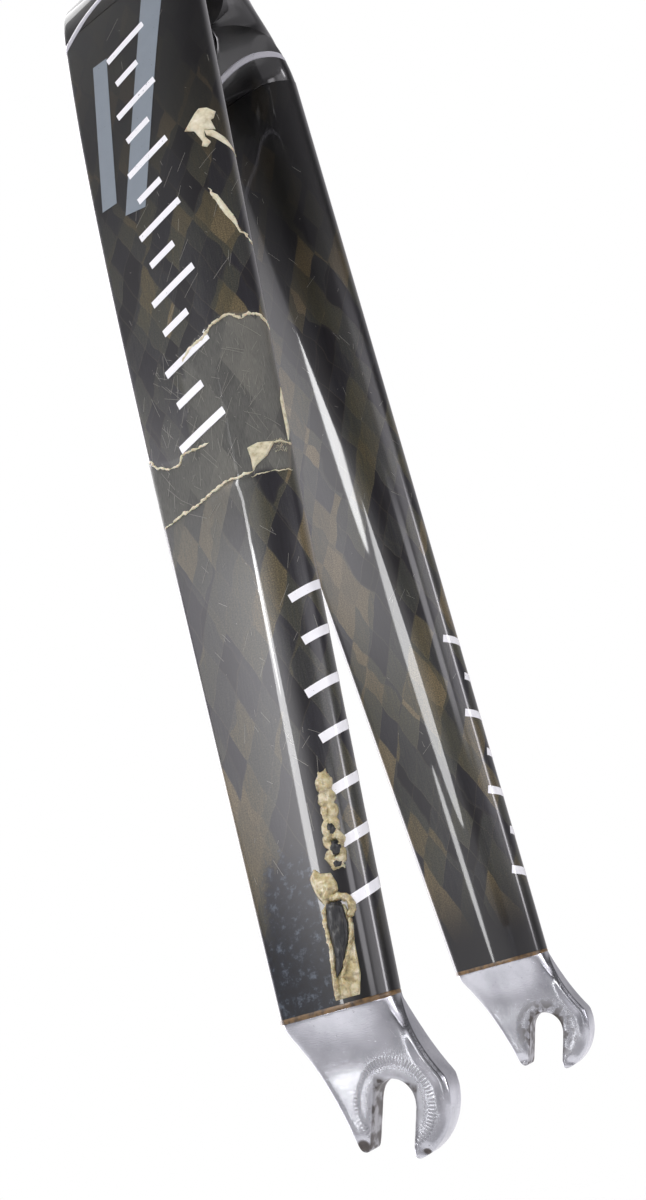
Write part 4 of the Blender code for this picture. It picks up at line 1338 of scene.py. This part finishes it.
# Soft panels on the walls, in degrees: heading, half width and soft edge; lowest and highest pitch and
# their soft edge; glow
PANELS = (
    (-104, 12, 14, -14, 40, 14, 4.5),
    (-46, 14, 10, 12, 27, 9, 1.35),
    (-24, 4, 20, 10, 24, 10, 0.9),
    (21, 3, 5, 8, 13, 6, 4.0),
    (50, 10, 16, 6, 22, 10, 1.6),
    (61, 2, 3, 0, 16, 6, 9.0),
)
BARE_WALLS, BACK_GLOW, FLOOR_GLOW = 0.10, 0.46, 0.52
COOL, WHITE = (0.975, 0.95, 1.0, 1.0), (1.0, 1.0, 1.0, 1.0)


def light_studio():
    """Strips and two large lamps, in a room whose walls glow softly; the backdrop itself is white."""
    for name, (spot, width, height, glow) in STRIPS.items():
        softbox(name, spot, FRONT, width, height, glow, level=True)
    key = softbox("key", (0.42, -0.7, 1.4), MIDDLE, 0.9, 0.9, 6.5, (0.97, 0.95, 1.0))
    key.visible_glossy = False
    softbox("top", (-0.6, 0.2, 1.5), MIDDLE, 1.4, 1.4, 2.6)
    world = bpy.data.worlds.new("studio")
    world.use_nodes = True
    bpy.context.scene.world = world
    w = Bench(world.node_tree)
    x, y, z = w.parts(w.node("ShaderNodeTexCoord")["Generated"])
    heading = w.maths("ARCTAN2", x, 0.0 - y) * (180 / pi)
    pitch = w.maths("ARCSINE", z) * (180 / pi)
    room = BARE_WALLS + y.step(-0.05, 0.5) * BACK_GLOW + (1 - pitch.step(-13, 4)) * FLOOR_GLOW
    for panel in PANELS:
        room = room + glow_panel(w, heading, pitch, *panel)
    seen = w.node("ShaderNodeLightPath")["Is Camera Ray"]
    tint = w.node("ShaderNodeMix", {"data_type": "RGBA"}, {0: seen, 6: COOL, 7: WHITE})[2]
    backdrop = w.tree.nodes["Background"]
    w.tree.links.new((seen + (1 - seen) * room).socket, backdrop.inputs["Strength"])
    w.tree.links.new(tint.socket, backdrop.inputs["Color"])


FLOOR_RADIUS, FLOOR_LEVEL = 0.44, -0.50


def lay_floor():
    """Pale disc under the fork that fades into the backdrop."""
    bm = bmesh.new()
    bmesh.ops.create_circle(bm, cap_ends=True, segments=96, radius=FLOOR_RADIUS)
    bmesh.ops.translate(bm, verts=bm.verts, vec=(0, 0, FLOOR_LEVEL))
    mesh = bpy.data.meshes.new("floor")
    bm.to_mesh(mesh)
    f = Finish("pale_floor", roughness=0.7)
    spot = f.place()
    x, y, _ = f.parts(spot)
    reach = f.maths("SQRT", x * x + y * y)
    grain = f.cloud(spot, 60.0, 3.0)
    f.feed(base_color=f.blend(grain, colour(238, 238, 238), colour(246, 246, 246)),
           alpha=1 - reach.step(FLOOR_RADIUS * 0.5, FLOOR_RADIUS * 0.98))
    mesh.materials.append(f.material)
    new_object("floor", mesh)


# Where the camera stands, how it's turned in degrees, and its lens
CAMERA_PLACE, CAMERA_TURN, CAMERA_LENS = (0.15473, -0.28286, -0.34778), (107.825, 9.965, 28.966), 22.05


def set_camera():
    camera = bpy.data.cameras.new("camera")
    camera.sensor_fit = "VERTICAL"
    camera.sensor_height = 24
    camera.lens = CAMERA_LENS
    camera.clip_start = 0.01
    obj = new_object("camera", camera)
    obj.location = CAMERA_PLACE
    obj.rotation_euler = tuple(radians(angle) for angle in CAMERA_TURN)
    bpy.context.scene.camera = obj
    bpy.context.scene.view_settings.view_transform = "Standard"


# ---------------------------------------------------------------- the fork

FINISHES = {
    "carbon": lacquered_carbon(),
    "white": printed("white_print", colour(243, 243, 245), colour(226, 227, 231)),
    "grey": printed("grey_print", colour(128, 137, 145), colour(112, 120, 128)),
    "silver": printed("silver_print", colour(188, 187, 194), colour(164, 164, 171)),
    "scratch": printed("scratch", colour(150, 148, 140), colour(110, 108, 100)),
    "cream": bare_resin("pulled_resin", colour(204, 196, 168), colour(150, 138, 106), 0.1),
    "resin": bare_resin("run_resin", colour(186, 172, 126), colour(96, 80, 50), 0.9),
    "dark": charred_fibre(),
    "aluminium": polished_aluminium(),
    "adhesive": adhesive(),
    "alloy": turned_metal("black_alloy", colour(18, 18, 20), colour(34, 34, 37), 0.55, 0.26, 0.02),
    "plain": turned_metal("plain_aluminium", colour(176, 177, 179), colour(208, 208, 210), 1.0, 0.2, 0.03),
    "steel": turned_metal("bearing_steel", colour(150, 152, 156), colour(188, 190, 193), 1.0, 0.12, 0.015),
    "rubber": moulded_rubber(),
    "steerer": steerer_carbon(),
}

TURNED = {
    "steerer_tube": ("steerer", "steerer_carbon", FORK),
    "crown_race": ("steel", "bearing_steel", FORK),
    "lower_inner_ring": ("steel", "bearing_steel", FORK),
    "upper_inner_ring": ("steel", "bearing_steel", FORK),
    "lower_outer_ring": ("steel", "bearing_steel", "lower_bearing_shell"),
    "upper_outer_ring": ("steel", "bearing_steel", "upper_bearing_shell"),
    "bearing_cover": ("alloy", "black_alloy", FORK),
    "spacer_tall": ("alloy", "black_alloy", FORK),
    "spacer_middle": ("alloy", "black_alloy", FORK),
    "spacer_top": ("alloy", "black_alloy", FORK),
    "top_cap": ("alloy", "black_alloy", FORK),
    "expander_body": ("plain", "plain_aluminium", FORK),
}

set_camera()
light_studio()
lay_floor()
charts = {label: make_leg_chart(label, side) for label, side in SIDES.items()}
for label, side in SIDES.items():
    make_blade_skin(label, side, FINISHES["carbon"])
    make_dropout_skin(label, side, FINISHES["aluminium"])
    make_bond_fillet(label, side, FINISHES["adhesive"])
make_crown_skin(FINISHES["carbon"])
add_marks(charts, FINISHES)
add_damage(charts, FINISHES)
add_scratches(charts, FINISHES)
for node, (finish, slot, body) in TURNED.items():
    make_turned(node, FINISHES[finish], slot, body=body)
for chart in charts.values():
    bpy.data.objects.remove(chart)

CARRIED_OVER = {
    "rubber": ("cover_seal", "lower_seal_bottom", "lower_seal_top", "upper_seal_bottom", "upper_seal_top"),
    "alloy": ("compression_ring",),
    "plain": ("expander_sleeve", "expander_wedge"),
    "steel": ("expander_bolt", "top_cap_bolt", "lower_ball_cage", "upper_ball_cage"),
}
for finish, nodes in CARRIED_OVER.items():
    for node in nodes:
        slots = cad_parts[node].data.materials
        slots.clear()
        slots.append(FINISHES[finish])
